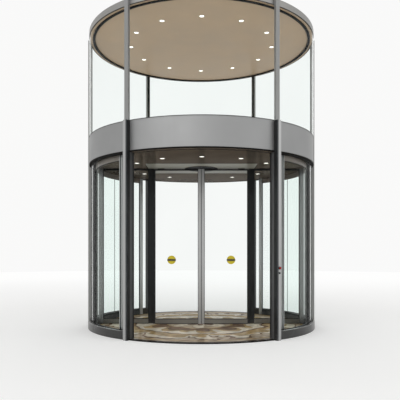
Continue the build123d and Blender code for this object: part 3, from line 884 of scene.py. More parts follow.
def about(middle: float, width: float) -> Span:
    """Give the span of a width round its middle."""
    return (middle - width / 2, middle + width / 2)


def inset(span: Span, width: float) -> Span:
    """Draw both ends of a span in by a width."""
    return (span[0] + width, span[1] - width)


def end_strips(span: Span, width: float) -> tuple[Span, Span]:
    """Give the strips just inside both ends of a span."""
    return (span[0], span[0] + width), (span[1] - width, span[1])


def outer_strips(span: Span, width: float) -> tuple[Span, Span]:
    """Give the strips just outside both ends of a span."""
    return (span[0] - width, span[0]), (span[1], span[1] + width)


def mirrored(span: Span, side: float) -> Span:
    """Give a span on one side of the middle, -1 or 1, from low to high."""
    return tuple(sorted(side * end for end in span))


def four_spans(near: float, far: float) -> list[Span]:
    """Repeat a span of angles before and behind both of the door's sides."""
    ends = ((near, far), (-far, -near))
    return [(side + start, side + end) for side in (0.0, HALF_TURN) for start, end in ends]


def even_turns(count: int, first: float = 0.0) -> list[float]:
    """Share a full turn evenly, from a first share on."""
    return [FULL_TURN * (place + first) / count for place in range(count)]


def ring_profile(faces: Span, levels: Span, bevel: float = 0.0) -> list[Point]:
    """Give a ring's section with chamfered corners.

    Args:
        faces: Inner and outer radius.
        levels: Lower and upper level.
        bevel: Chamfer of its corners.

    Returns:
        Radius and level of each corner, in order.
    """
    (inner, outer), (low, high) = faces, levels
    if bevel <= 0.0:
        return [(inner, low), (outer, low), (outer, high), (inner, high)]
    return [
        (inner + bevel, low), (outer - bevel, low), (outer, low + bevel), (outer, high - bevel),
        (outer - bevel, high), (inner + bevel, high), (inner, high - bevel), (inner, low + bevel),
    ]


class Draft:
    """Collects the skins of one added piece, in millimetres, and makes its object."""

    step = 2.0
    sharp_angle = 35.0

    def __init__(self) -> None:
        """Start with no skins."""
        self.points: list[Vector] = []
        self.faces: list[tuple[int, ...]] = []

    def loft(self, rows: Sequence[Sequence[Vector]], closed: bool = False) -> None:
        """Join rows of points into one closed skin.

        Args:
            rows: Rows with the same number of points.
            closed: Whether the last row joins the first.
        """
        start, width, count = len(self.points), len(rows[0]), len(rows)
        for row in rows:
            self.points.extend(row)
        for line in range(count if closed else count - 1):
            here, there = start + line * width, start + (line + 1) % count * width
            for place in range(width):
                beside = (place + 1) % width
                self.faces.append((here + place, here + beside, there + beside, there + place))
        if not closed:
            last = start + (count - 1) * width
            self.faces.append(tuple(start + place for place in reversed(range(width))))
            self.faces.append(tuple(last + place for place in range(width)))

    def sweep(self, section: Sequence[Point], start: float = 0.0, end: float = FULL_TURN) -> None:
        """Sweep a section round the door's axis.

        Args:
            section: Radius and level of each corner.
            start: First angle, in degrees.
            end: Last angle, in degrees.
        """
        whole = end - start >= FULL_TURN
        steps = max(1, round((end - start) / self.step))
        rows = [
            [turned(radius, start + (end - start) * line / steps, level) for radius, level in section]
            for line in range(steps if whole else steps + 1)
        ]
        self.loft(rows, closed=whole)

    def bar(
        self, faces: Span, width: float, levels: Span, angle: float, bevel: float = 0.0, shift: float = 0.0
    ) -> None:
        """Stand a bar at an angle round the door's axis.

        Args:
            faces: Radius of its inner and outer face.
            width: Width across the radius.
            levels: Lower and upper level.
            angle: Where it stands, in degrees.
            bevel: Chamfer of its upright edges.
            shift: How far it stands sideways of the angle.
        """
        corners = ring_profile(faces, about(shift, width), bevel)
        turn = Matrix.Rotation(math.radians(angle), 3, "Z")
        self.loft([[turn @ Vector((*corner, level)) for corner in corners] for level in levels])

    def block(self, across: Span, along: Span, levels: Span) -> None:
        """Add a block that fills a span on each axis."""
        corners = ring_profile(across, along)
        self.loft([[Vector((*corner, level)) for corner in corners] for level in levels])

    def flat_frame(self, across: Span, along: Span, levels: Span, lip: float) -> None:
        """Lay a frame of four strips inside an upright flat field.

        Args:
            across: The field's span from side to side.
            along: From the front of the strips to their rear.
            levels: The field's span upwards.
            lip: Width of the strips.
        """
        for strip in end_strips(across, lip):
            self.block(strip, along, levels)
        for strip in end_strips(levels, lip):
            self.block(across, along, strip)

    def curved_frame(self, faces: Span, levels: Span, span: Span, lip: float, bevel: float) -> None:
        """Lay a frame of four strips on a curved pane.

        Args:
            faces: Inner and outer radius of the strips.
            levels: Lower and upper level of the frame.
            span: First and last angle of the frame.
            lip: Width of the strips.
            bevel: Chamfer of their edges.
        """
        for strip in end_strips(levels, lip):
            self.sweep(ring_profile(faces, strip, bevel), *span)
        for angle in inset(span, half_width_angle(lip, faces[0])):
            self.bar(faces, lip, levels, angle, bevel)

    def lathe(self, profile: Sequence[Point], place: Vector, axis: Vector = UP, sides: int = 32) -> None:
        """Turn a profile round an axis of its own.

        Args:
            profile: Radius and distance along the axis of each point.
            place: Where the axis starts.
            axis: The axis's direction.
            sides: How many sides the turned form has.
        """
        turn = UP.rotation_difference(axis.normalized()).to_matrix()
        rows = [
            [place + turn @ turned(radius, angle, along) for angle in even_turns(sides)]
            for radius, along in profile
        ]
        self.loft(rows)

    def build(self, name: str, body: Body, material: Material, slot: Slot, nodes: Sequence[str]) -> None:
        """Make the piece and let it ride on its body.

        Args:
            name: The piece's name.
            body: The body that carries it.
            material: Its finish.
            slot: The record's slot that the finish belongs to; not used.
            nodes: CAD nodes that it replaces.
        """
        mesh = bpy.data.meshes.new(name)
        mesh.from_pydata([tuple(point * MILLIMETRE) for point in self.points], [], self.faces)
        mesh.shade_smooth()
        mesh.set_sharp_from_angle(angle=math.radians(self.sharp_angle))
        mesh.materials.append(material)
        piece = bpy.data.objects.new(name, mesh)
        bpy.context.scene.collection.objects.link(piece)
        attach(piece, body.value)
        if nodes:
            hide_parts(*nodes)
        LOG.info("made %s with %d faces", name, len(self.faces))


@dataclass
class DoorPlan:
    """Sizes that the sub-assemblies share, in millimetres and degrees."""

    mullion_angles: tuple[float, ...] = (-123.9, -56.1, 56.1, 123.9)
    side_angles: tuple[float, ...] = (0.0, 180.0)
    mullion_width: float = 72.0
    side_mullion_width: float = 100.0
    side_post_width: float = 80.0
    air: float = 0.4

    @property
    def reach(self) -> float:
        """The angle from the door's side to the next mullion."""
        return min(abs(angle) for angle in self.mullion_angles)

    def clearing(self, angle: float, radius: float) -> float:
        """Give the half angle that a mullion takes at a radius."""
        width = self.side_mullion_width if angle in self.side_angles else self.mullion_width
        return half_width_angle(width + 2 * self.air, radius)

    def bays(self, radius: float) -> list[Span]:
        """Give the spans between neighbouring mullions.

        Args:
            radius: The radius that they are measured at.

        Returns:
            First and last angle of each span.
        """
        stops = sorted([*self.mullion_angles, *self.side_angles])
        ends = [*stops[1:], stops[0] + FULL_TURN]
        gaps = [self.clearing(angle, radius) for angle in stops]
        return [
            (start + before, end - after)
            for start, end, before, after in zip(stops, ends, gaps, [*gaps[1:], gaps[0]])
        ]

    def glazed_quarters(self, radius: float) -> list[Span]:
        """Give the spans of the drum's glass between its posts.

        Args:
            radius: The radius that they are measured at.

        Returns:
            First and last angle of each span.
        """
        side = half_width_angle(self.side_post_width + self.air, radius)
        door = half_width_angle(self.mullion_width + self.air, radius)
        return four_spans(side, self.reach - door)

    def doorward(self, angle: float) -> float:
        """Tell to which side of a mullion its doorway lies, 1 or -1."""
        return -1.0 if (angle > 0) == (abs(angle) > QUARTER_TURN) else 1.0


@dataclass
class SubAssembly:
    """One sub-assembly, which adds its pieces in the door's finishes."""

    plan: DoorPlan
    palette: Palette
    body: ClassVar[Body] = Body.DRUM

    def make(self, name: str, draft: Draft, slot: Slot, *nodes: str, shade: Optional[Shade] = None) -> None:
        """Make a piece from its draft.

        Args:
            name: The piece's name.
            draft: Its skins.
            slot: The record's slot of its finish.
            *nodes: CAD nodes that it replaces.
            shade: Its finish, where that isn't the slot's own.
        """
        draft.build(name, self.body, self.palette.made[shade or slot], slot, nodes)

    def make_screws(self, name: str, spots: Iterable[Vector], axis: Vector = UP, sides: int = 16) -> None:
        """Make a set of screw heads.

        Args:
            name: The piece's name.
            spots: Where the screws sit.
            axis: Where their heads point.
            sides: How many sides a head has.
        """
        draft = Draft()
        for spot in spots:
            draft.lathe(SCREW, spot, axis, sides)
        self.make(name, draft, Slot.STEEL, shade=Shade.SCREW)

    def make_downlights(self, ceiling: str, spots: Iterable[Vector]) -> None:
        """Make the bezels and lenses of a ceiling's downlights.

        Args:
            ceiling: What the pieces and the replaced node are named after.
            spots: Where the lights sit.
        """
        bezels, lenses = Draft(), Draft()
        for spot in spots:
            bezels.lathe(BEZEL, spot)
            lenses.lathe(LENS, spot)
        self.make(f"{ceiling}_light_bezels", bezels, Slot.LIGHT_METAL, shade=Shade.BEZEL)
        self.make(f"{ceiling}_light_lenses", lenses, Slot.LAMP, f"{ceiling}_downlights")


@dataclass
class CurvedGlazing(SubAssembly):
    """Curved panes with gaskets on both faces and joints between them."""

    glass: Span = UNIT
    levels: Span = UNIT
    seat: float = 3.0
    lip: float = 8.0
    bevel: float = 0.8
    joint_inset: float = 0.5

    def gaskets(self, spans: Iterable[Span]) -> Draft:
        """Draft the gaskets on all four sides of each pane.

        Args:
            spans: First and last angle of each pane.

        Returns:
            The gaskets' draft.
        """
        draft = Draft()
        for span in spans:
            for faces in outer_strips(self.glass, self.seat):
                draft.curved_frame(faces, self.levels, span, self.lip, self.bevel)
        return draft

    def joints(self, angles: Iterable[float], width: float) -> Draft:
        """Draft the silicone joints between neighbouring panes.

        Args:
            angles: Where the joints stand.
            width: How wide they are.

        Returns:
            The joints' draft.
        """
        draft = Draft()
        for angle in angles:
            draft.bar(inset(self.glass, self.joint_inset), width, self.levels, angle)
        return draft


@dataclass
class DrumGlazing(CurvedGlazing):
    """Gaskets, joints, plinth covers and door edges of the lower drum."""

    glass: Span = (1948.5, 1961.5)
    levels: Span = (130.0, 2840.0)
    seat: float = 3.2
    lip: float = 9.0
    bevel: float = 1.0
    joint_angle: float = 28.05
    joint_width: float = 3.6
    trim_faces: Span = (1990.0, 2008.0)
    trim_levels: Span = (128.5, 132.0)
    trim_bevel: float = 0.8
    trim_near: float = 1.6
    trim_air: float = 1.3
    strap_faces: Span = (2016.0, 2021.0)
    strap_levels: Span = (4.0, 120.0)
    strap_width: float = 14.0
    strap_bevel: float = 0.4
    strip_faces: Span = (1913.0, 1939.0)
    strip_levels: Span = (30.0, 2836.0)
    strip_depth: float = 9.0
    strip_bevel: float = 2.5
    cap_back: float = 2062.3
    cap_face: float = 2080.3
    cap_levels: Span = (0.5, 3311.5)
    edge_lap: float = 18.0
    edge_skin: float = 1.2
    edge_bevel: float = 0.3
    threshold_radius: float = 1998.8
    threshold_top: float = 18.0
    screw_step: float = 9.5
    screw_reach: int = 3

    def add(self) -> None:
        """Add all pieces of the lower drum."""
        self.make("drum_gaskets", self.gaskets(self.plan.glazed_quarters(self.glass[0])), Slot.GASKET)
        angles = [side + way * self.joint_angle for side in self.plan.side_angles for way in BOTH_WAYS]
        self.make("drum_joints", self.joints(angles, self.joint_width), Slot.GASKET, shade=Shade.SILICONE)
        self.add_plinth_covers(angles)
        self.add_door_edges()
        self.add_mullion_shade_trims()
        places = range(-self.screw_reach, self.screw_reach + 1)
        turns = [way * QUARTER_TURN + self.screw_step * place for way in BOTH_WAYS for place in places]
        spots = [turned(self.threshold_radius, turn, self.threshold_top) for turn in turns]
        self.make_screws("threshold_screws", spots)

    def add_plinth_covers(self, angles: Iterable[float]) -> None:
        """Add the trim on the plinths' upper edge and the straps over their joints.

        Args:
            angles: Where the joints stand.
        """
        trim, straps = Draft(), Draft()
        for start, end in four_spans(self.trim_near, self.plan.reach - self.trim_air):
            trim.sweep(ring_profile(self.trim_faces, self.trim_levels, self.trim_bevel), start, end)
        for angle in angles:
            straps.bar(self.strap_faces, self.strap_width, self.strap_levels, angle, self.strap_bevel)
        self.make("plinth_trims", trim, Slot.LIGHT_METAL, shade=Shade.BEZEL)
        self.make("plinth_straps", straps, Slot.PLINTH_METAL)

    def add_door_edges(self) -> None:
        """Add the soft safety strips on the doorway side of the door posts."""
        draft = Draft()
        for angle in self.plan.mullion_angles:
            shift = self.plan.doorward(angle) * (self.plan.mullion_width + self.strip_depth) / 2
            draft.bar(self.strip_faces, self.strip_depth, self.strip_levels, angle, self.strip_bevel, shift)
        self.make("door_edge_strips", draft, Slot.GASKET)

    def add_mullion_shade_trims(self) -> None:
        """Add dark trims on the doorway side of the mullions' caps, which paint the shade of the mullions'
        sides onto the caps' edges.
        """
        draft = Draft()
        half, skin, outer = self.plan.mullion_width / 2, self.edge_skin, self.cap_face + self.edge_skin
        # Painted shade: a dark front strip and side strip on the doorway edge of each cap.
        parts = (
            (self.cap_face, self.edge_lap, half - self.edge_lap / 2),
            (self.cap_back, skin, half + skin / 2),
        )
        for angle in self.plan.mullion_angles:
            for inner, width, away in parts:
                shift = self.plan.doorward(angle) * away
                draft.bar((inner, outer), width, self.cap_levels, angle, self.edge_bevel, shift)
        self.make("mullion_shade_trims", draft, Slot.DARK_METAL, shade=Shade.RAIL)


@dataclass
class Canopy(SubAssembly):
    """Edge beads of the fascia, soffits over the doorways and seams of the deck."""

    face: float = 2000.0
    levels: Span = (2862.0, 3312.0)
    bead: float = 9.0
    bead_faces: Span = (1999.0, 2003.0)
    bead_bevel: float = 1.0
    soffit_faces: Span = (1916.0, 1991.0)
    soffit_levels: Span = (2838.6, 2840.2)
    soffit_bevel: float = 0.4
    soffit_air: float = 2.0
    seam_reach: float = 1960.0
    seam_width: float = 5.0
    seam_levels: Span = (3311.6, 3312.8)
    seam_places: tuple[float, ...] = (-1200.0, -400.0, 400.0, 1200.0)

    def add(self) -> None:
        """Add the beads and soffits between the mullions, and the deck's seams."""
        beads, soffits, seams = Draft(), Draft(), Draft()
        for bay in self.plan.bays(self.face):
            for strip in end_strips(self.levels, self.bead):
                beads.sweep(ring_profile(self.bead_faces, strip, self.bead_bevel), *bay)
        self.make("fascia_beads", beads, Slot.FASCIA_METAL)
        section = ring_profile(self.soffit_faces, self.soffit_levels, self.soffit_bevel)
        width = self.plan.mullion_width + self.soffit_air
        start = self.plan.reach + half_width_angle(width, self.soffit_faces[0])
        for turn in (0.0, -HALF_TURN):
            soffits.sweep(section, turn + start, turn + HALF_TURN - start)
        self.make("doorway_soffits", soffits, Slot.CEILING_GLOSS)
        for place in self.seam_places:
            seams.block(about(place, self.seam_width), chord(self.seam_reach, place), self.seam_levels)
        self.make("deck_seams", seams, Slot.GASKET)


@dataclass
class UpperStorey(CurvedGlazing):
    """Gaskets, joints, rims, lights and roof of the glazed upper storey."""

    glass: Span = (1986.0, 1999.0)
    levels: Span = (3312.0, 5060.0)
    seat: float = 2.6
    lips: Span = (10.0, 5.0)
    joint_width: float = 2.6
    pad_faces: Span = (1999.1, 2000.2)
    pad_width: float = 40.0
    rim_faces: Span = (1895.0, 1940.0)
    rim_levels: Span = (5042.0, 5060.0)
    rim_bevel: float = 2.0
    margin_faces: Span = (1939.5, 1983.0)
    margin_levels: Span = (5056.0, 5060.1)
    margin_bevel: float = 0.6
    light_radius: float = 1280.0
    light_level: float = 5055.0
    light_count: int = 12
    roof_low: float = 5084.0
    roof_high: float = 5092.0
    roof_sides: int = 120
    rib_reach: float = 1833.0
    rib_levels: Span = (5091.0, 5118.0)
    rib_width: float = 14.0
    rib_places: tuple[float, ...] = (-1500.0, -1000.0, -500.0, 0.0, 500.0, 1000.0, 1500.0)
    screw_radius: float = 1865.0
    screw_count: int = 24
    screw_first: float = 0.5
    screw_sides: int = 12

    def add(self) -> None:
        """Add all pieces of the upper storey."""
        self.add_gaskets()
        angles = (*self.plan.mullion_angles, *self.plan.side_angles)
        self.make("upper_joints", self.joints(angles, self.joint_width), Slot.GASKET, shade=Shade.SILICONE)
        rings = (
            ("upper_rim", self.rim_faces, self.rim_levels, self.rim_bevel, Slot.BLACK_COVER),
            ("upper_margin", self.margin_faces, self.margin_levels, self.margin_bevel, Slot.UPPER_PANEL),
        )
        for name, faces, levels, bevel, slot in rings:
            draft = Draft()
            draft.sweep(ring_profile(faces, levels, bevel))
            self.make(name, draft, slot)
        turns = even_turns(self.light_count)
        self.make_downlights("upper", [turned(self.light_radius, turn, self.light_level) for turn in turns])
        self.add_roof()

    def add_gaskets(self) -> None:
        """Add the gaskets at the glass's foot and head, and the pads behind the mullions."""
        draft = Draft()
        inner, outer = outer_strips(self.glass, self.seat)
        for end, lip in enumerate(self.lips):
            strip = end_strips(self.levels, lip)[end]
            for bay in self.plan.bays(self.glass[1]):
                draft.sweep(ring_profile(outer, strip, self.bevel), *bay)
            draft.sweep(ring_profile(inner, strip, self.bevel))
        for angle in self.plan.mullion_angles:
            draft.bar(self.pad_faces, self.pad_width, self.levels, angle)
        self.make("upper_gaskets", draft, Slot.GASKET)

    def add_roof(self) -> None:
        """Add the roof's sheet with its standing seams and edge screws."""
        sheet = Draft()
        sheet.lathe(ROOF, self.roof_low * UP, UP, self.roof_sides)
        for place in self.rib_places:
            sheet.block(about(place, self.rib_width), chord(self.rib_reach, place), self.rib_levels)
        self.make("roof_sheet", sheet, Slot.DARK_METAL, shade=Shade.ROOF)
        turns = even_turns(self.screw_count, self.screw_first)
        spots = [turned(self.screw_radius, turn, self.roof_high) for turn in turns]
        self.make_screws("roof_screws", spots, UP, self.screw_sides)


@dataclass
class RotorCeiling(SubAssembly):
    """Lights, seams, rim and slot brushes of the rotor's ceiling."""

    body: ClassVar[Body] = Body.ROTOR
    light_level: float = 2835.0
    light_radius: float = 1270.0
    light_turns: tuple[float, ...] = (-90.0, -60.0, -30.0, 30.0, 60.0, 90.0, 120.0, 150.0, 210.0, 240.0)
    rim_faces: Span = (1877.0, 1885.0)
    rim_levels: Span = (2837.0, 2840.0)
    rim_bevel: float = 0.8
    bay_start: float = 49.3
    track_slot: Span = (-41.0, -11.0)
    slot_end: float = 1783.0
    brush_reach: float = 4.5
    brush_levels: Span = (2841.0, 2854.0)
    bridge_x: float = 963.0
    bridge_y: float = 575.0
    seam_width: float = 4.0
    seam_levels: Span = (2839.2, 2840.2)
    screw_radius: float = 275.0
    screw_level: float = 2834.0
    screw_turns: tuple[float, ...] = (35.0, 145.0, 215.0, 325.0)

    def add(self) -> None:
        """Add all pieces of the rotor's ceiling."""
        spots = [turned(self.light_radius, turn, self.light_level) for turn in self.light_turns]
        self.make_downlights("ceiling", spots)
        rim, brushes = Draft(), Draft()
        for start in (self.bay_start, self.bay_start - HALF_TURN):
            section = ring_profile(self.rim_faces, self.rim_levels, self.rim_bevel)
            rim.sweep(section, start, start + HALF_TURN - 2 * self.bay_start)
        self.make("ceiling_rim", rim, Slot.BLACK_COVER)
        for strip in end_strips(self.track_slot, self.brush_reach):
            brushes.block((-self.slot_end, self.slot_end), strip, self.brush_levels)
        self.make("slot_brushes", brushes, Slot.BRUSH)
        self.add_bridge_seams()
        spots = [turned(self.screw_radius, turn, self.screw_level) for turn in self.screw_turns]
        self.make_screws("hub_cap_screws", spots, -UP)

    def add_bridge_seams(self) -> None:
        """Add thin black seams round the bridge's panels, open at the track's slot; they mark the joints
        between the flush panels, and their black is painted shade in those joints.
        """
        draft = Draft()
        slot_low, slot_high = self.track_slot
        for side in BOTH_WAYS:
            edge = mirrored((self.bridge_y, self.bridge_y - self.seam_width), side)
            draft.block((-self.bridge_x, self.bridge_x), edge, self.seam_levels)
            end = mirrored((self.bridge_x, self.bridge_x - self.seam_width), side)
            draft.block(end, (-self.bridge_y, slot_low), self.seam_levels)
            draft.block(end, (slot_high, self.bridge_y), self.seam_levels)
        self.make("bridge_seams", draft, Slot.GASKET)


@dataclass
class EndShields(CurvedGlazing):
    """Gaskets and brushes of the rotor's curved ends."""

    body: ClassVar[Body] = Body.ROTOR
    glass: Span = (1868.0, 1880.0)
    levels: Span = (106.0, 2758.0)
    reach: float = 48.0
    stile_width: float = 66.0
    end_stile_width: float = 92.0
    stile_air: float = 1.0
    holder_faces: Span = (1889.0, 1891.5)
    holder_width: float = 16.0
    tuft_faces: Span = (1891.4, 1896.5)
    tuft_width: float = 8.0
    tuft_step: float = 9.0
    tuft_gap: float = 0.6
    brush_levels: Span = (24.0, 2840.0)
    sweep_faces: Span = (1868.0, 1878.0)
    sweep_levels: Span = (18.0, 24.0)

    def add(self) -> None:
        """Add all pieces of both end shields."""
        near = half_width_angle(self.end_stile_width + self.stile_air, self.glass[0])
        far = self.reach - half_width_angle(self.stile_width + self.stile_air, self.glass[0])
        self.make("shield_gaskets", self.gaskets(four_spans(near, far)), Slot.GASKET)
        self.add_brushes()
        sweeps = Draft()
        for span in four_spans(near, far):
            sweeps.sweep(ring_profile(self.sweep_faces, self.sweep_levels), *span)
        self.make("shield_sweeps", sweeps, Slot.BRUSH)

    def add_brushes(self) -> None:
        """Add the upright brushes on the corner stiles, with a holder and a row of tufts."""
        draft = Draft()
        low, high = self.brush_levels
        starts = [low + place * self.tuft_step for place in range(int((high - low) / self.tuft_step))]
        for angle in (side + way * self.reach for side in (0.0, HALF_TURN) for way in BOTH_WAYS):
            draft.bar(self.holder_faces, self.holder_width, self.brush_levels, angle)
            for start in starts:
                tuft = (start + self.tuft_gap, start + self.tuft_step)
                draft.bar(self.tuft_faces, self.tuft_width, tuft, angle)
        self.make("shield_bristles", draft, Slot.BRUSH, "shield_brushes")


@dataclass
class FlatPanels(SubAssembly):
    """Upright flat panels with a gasketed pane, kick plates and a sweep under them."""

    across: Span = UNIT
    faces: Span = UNIT
    glass: Span = UNIT
    levels: Span = UNIT
    lip: float = 8.0
    seat: float = 3.0
    plate_levels: Span = (30.0, 102.0)
    plate_inset: float = 3.0
    plate_proud: float = 0.9
    sweep_levels: Span = (18.0, 24.0)

    def add_covers(self, name: str, *sides: float) -> None:
        """Add the gaskets and kick plates of panels.

        Args:
            name: What the pieces are named after.
            *sides: On which sides of the middle the panels stand, -1 or 1.
        """
        gaskets, plates = Draft(), Draft()
        for side in sides:
            across = mirrored(self.across, side)
            for along in outer_strips(self.glass, self.seat):
                gaskets.flat_frame(across, along, self.levels, self.lip)
            for along in outer_strips(self.faces, self.plate_proud):
                plates.block(inset(across, self.plate_inset), along, self.plate_levels)
        self.make(f"{name}_gaskets", gaskets, Slot.GASKET)
        self.make(f"{name}_kick_plates", plates, Slot.DARK_METAL, shade=Shade.KICK_PLATE)

    def add_sweeps(self, name: str, *sides: float) -> None:
        """Add the brushes under panels.

        Args:
            name: The piece's name.
            *sides: On which sides of the middle the panels stand, -1 or 1.
        """
        draft = Draft()
        for side in sides:
            draft.block(mirrored(self.across, side), self.glass, self.sweep_levels)
        self.make(name, draft, Slot.BRUSH)


@dataclass
class PortalFrames(FlatPanels):
    """Gaskets, kick plates and sweeps of the rotor's fixed side panels."""

    body: ClassVar[Body] = Body.ROTOR
    across: Span = (963.0, 1791.0)
    faces: Span = (6.0, 46.0)
    glass: Span = (21.0, 31.0)
    levels: Span = (106.0, 2822.0)
    lip: float = 9.0

    def add(self) -> None:
        """Add the pieces of both panels."""
        self.add_covers("portal", *BOTH_WAYS)
        self.add_sweeps("portal_sweeps", *BOTH_WAYS)


@dataclass
class SlidingLeaf(FlatPanels):
    """Gaskets, kick plates, meeting edge, sweep and glass markers of one sliding leaf."""

    across: Span = (55.0, 840.0)
    faces: Span = (-46.0, -6.0)
    glass: Span = (-31.0, -21.0)
    levels: Span = (106.0, 2811.0)
    side: float = 1.0
    edge_air: float = 0.15
    edge_width: float = 4.0
    edge_faces: Span = (-38.0, -14.0)
    edge_levels: Span = (25.0, 2811.0)
    cover_width: float = 4.8
    cover_proud: float = 1.0
    disc_place: float = 540.0
    disc_level: float = 1180.0
    disc_sides: int = 48

    @property
    def body(self) -> Body:
        """The body that carries this leaf."""
        return Body.RIGHT_LEAF if self.side > 0 else Body.LEFT_LEAF

    def add(self) -> None:
        """Add all pieces of the leaf."""
        name = self.body.value
        self.add_covers(name, self.side)
        edge, discs = Draft(), Draft()
        covers = outer_strips(self.faces, self.cover_proud)
        layers = ((self.edge_width, self.edge_faces), *((self.cover_width, cover) for cover in covers))
        for width, along in layers:
            edge.block(mirrored((self.edge_air, width), self.side), along, self.edge_levels)
        self.make(f"{name}_meeting_edge", edge, Slot.GASKET)
        self.add_sweeps(f"{name}_sweep", self.side)
        for face, way in zip(self.glass, BOTH_WAYS):
            spot = Vector((self.side * self.disc_place, face, self.disc_level))
            discs.lathe(DISC, spot, Vector((0.0, way, 0.0)), self.disc_sides)
        self.make(f"{name}_glass_markers", discs, Slot.LAMP, shade=Shade.MARKER)


@dataclass
class Switches(SubAssembly):
    """The emergency stop and the key switch beside the doorway."""

    angle: float = -56.1
    face: float = 2080.3
    stop_level: float = 1090.0
    key_level: float = 1015.0
    sides: int = 40

    def add(self) -> None:
        """Add both switches."""
        parts = (
            ("stop_collar", COLLAR, self.stop_level, Slot.SWITCH_BLACK, ()),
            ("stop_button", BUTTON, self.stop_level, Slot.STOP_RED, ("emergency_stop",)),
            ("key_barrel", BARREL, self.key_level, Slot.SWITCH_BLACK, ("key_switch",)),
        )
        outward = turned(1.0, self.angle, 0.0)
        for name, profile, level, slot, nodes in parts:
            draft = Draft()
            draft.lathe(profile, turned(self.face, self.angle, level), outward, self.sides)
            self.make(name, draft, slot, *nodes)


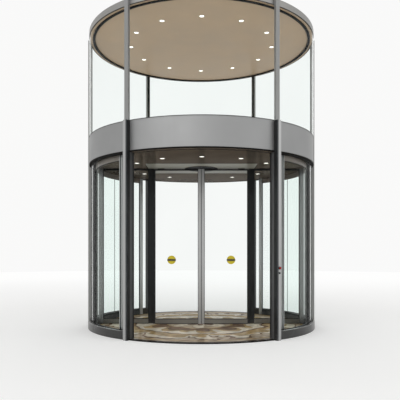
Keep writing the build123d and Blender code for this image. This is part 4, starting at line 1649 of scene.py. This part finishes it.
@dataclass
class Studio:
    """Pale floor, pale surroundings, soft lamps and the camera, in metres."""

    camera_place: Place = (-0.06, -9.68, 1.36)
    camera_lens: float = 47.8
    camera_shift: Span = (0.005, 0.125)
    sensor_width: float = 36.0
    background: Colour = (0.95, 0.95, 0.945)
    ambient: float = 0.62
    floor_radius: float = 26.0
    floor_level: float = -0.0005
    floor_sides: int = 96
    floor_roughness: float = 0.85
    floor_specular: float = 0.1
    floor_colours: tuple[Colour, Colour] = ((0.86, 0.86, 0.855), (0.90, 0.90, 0.895))
    far_colour: Colour = (0.0, 0.0, 0.0)
    floor_noise: Span = (0.4, 2.0)
    floor_lift: float = 0.22
    fade: Span = (4.5, 17.0)
    lamp_size: float = 14.0
    lamp_aim: Place = (0.0, 0.0, 2.2)
    lamps: tuple[tuple[str, Place, float], ...] = (
        ("key_lamp", (-6.5, -15.0, 11.0), 860.0),
        ("fill_lamp", (15.0, -9.0, 8.0), 250.0),
        ("rear_lamp", (4.0, 15.0, 12.0), 430.0),
    )

    def add(self) -> None:
        """Add everything round the door."""
        self.add_camera()
        self.add_world()
        self.add_floor()
        for lamp in self.lamps:
            self.add_lamp(*lamp)

    @staticmethod
    def place(name: str, data: bpy.types.ID) -> bpy.types.Object:
        """Put an object into the scene.

        Args:
            name: The object's name.
            data: Its camera, lamp or mesh.

        Returns:
            The object.
        """
        item = bpy.data.objects.new(name, data)
        bpy.context.scene.collection.objects.link(item)
        return item

    def add_camera(self) -> None:
        """Add the camera at the photograph's place and angle."""
        data = bpy.data.cameras.new("front_camera")
        data.lens = self.camera_lens
        data.sensor_width = self.sensor_width
        data.shift_x, data.shift_y = self.camera_shift
        camera = self.place("front_camera", data)
        camera.location = self.camera_place
        camera.rotation_euler = (math.radians(QUARTER_TURN), 0.0, 0.0)
        bpy.context.scene.camera = camera

    def add_world(self) -> None:
        """Add a plain world that the camera, metal and glass see pale."""
        world = bpy.data.worlds.new("pale_world")
        world.use_nodes = True
        world.node_tree.nodes.clear()
        bench = NodeBench(world.node_tree)
        strength = bench.spread(bench.seen_rays(), UNIT, (self.ambient, 1.0))
        background = bench.add("ShaderNodeBackground", rgba(self.background), strength)
        bench.add("ShaderNodeOutputWorld", background.outputs[0])
        bpy.context.scene.world = world

    def add_floor(self) -> None:
        """Add the pale studio floor, which keeps the door's shadow."""
        turns = even_turns(self.floor_sides)
        points = [tuple(turned(self.floor_radius, turn, self.floor_level)) for turn in turns]
        mesh = bpy.data.meshes.new("studio_floor")
        mesh.from_pydata(points, [], [tuple(range(self.floor_sides))])
        coat = Coat("studio_floor")
        place = coat.own_place()
        away = coat.add("ShaderNodeVectorMath", place, operation="LENGTH").outputs["Value"]
        far = coat.spread(away, self.fade)
        pale = coat.blend(coat.noise(place, *self.floor_noise), *self.floor_colours)
        lift = coat.spread(far, UNIT, (self.floor_lift, 1.0))
        coat.apply({
            "Base Color": coat.blend(far, pale, self.far_colour),
            "Roughness": self.floor_roughness,
            "Specular IOR Level": self.floor_specular,
            "Emission Color": rgba(self.background),
            "Emission Strength": coat.math("MULTIPLY", coat.seen_rays(), lift),
        })
        mesh.materials.append(coat.material)
        floor = self.place("studio_floor", mesh)

    def add_lamp(self, name: str, place: Place, power: float) -> None:
        """Add a soft square lamp that faces the door's middle.

        Args:
            name: The lamp's name.
            place: Where it stands.
            power: Its power in watts.
        """
        data = bpy.data.lights.new(name, "AREA")
        data.size = self.lamp_size
        data.energy = power
        lamp = self.place(name, data)
        lamp.location = place
        lamp.visible_transmission = False
        aim = Vector(self.lamp_aim) - Vector(place)
        lamp.rotation_euler = aim.to_track_quat("-Z", "Y").to_euler()


def clear_start_scene() -> None:
    """Remove what Blender's start-up scene holds; the frame's own objects stay."""
    kept = set(frame["nodes"].values()) | set(frame["bodies"].values())
    for item in list(bpy.context.scene.objects):
        if item not in kept and item.name in ("Cube", "Light", "Camera"):
            bpy.data.objects.remove(item, do_unlink=True)


def set_render_look(bounces: int = 20, clear_layers: int = 32) -> None:
    """Set the plain view and enough light bounces for stacked glass.

    Args:
        bounces: Light bounces in all, and through glass.
        clear_layers: Clear surfaces that a ray may pass.
    """
    scene = bpy.context.scene
    scene.view_settings.view_transform = "Standard"
    scene.cycles.max_bounces = bounces
    scene.cycles.transmission_bounces = bounces
    scene.cycles.transparent_max_bounces = clear_layers


def main() -> None:
    """Build the studio, dress the CAD nodes and add every sub-assembly."""
    logging.basicConfig(level=logging.INFO, format="%(name)s: %(message)s")
    clear_start_scene()
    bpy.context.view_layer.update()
    set_render_look()
    Studio().add()
    floor_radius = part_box("floor_disc")[1].x
    palette = Palette(Effects(), floor_radius)
    palette.mix()
    palette.dress_nodes(frame["nodes"])
    kinds = (DrumGlazing, Canopy, UpperStorey, RotorCeiling, EndShields, PortalFrames)
    common = (DoorPlan(), palette)
    leaves = [SlidingLeaf(*common, side=side) for side in BOTH_WAYS]
    for part in (*(kind(*common) for kind in kinds), *leaves, Switches(*common)):
        part.add()
        LOG.info("finished %s", type(part).__name__)


if __name__ == "__main__":
    main()
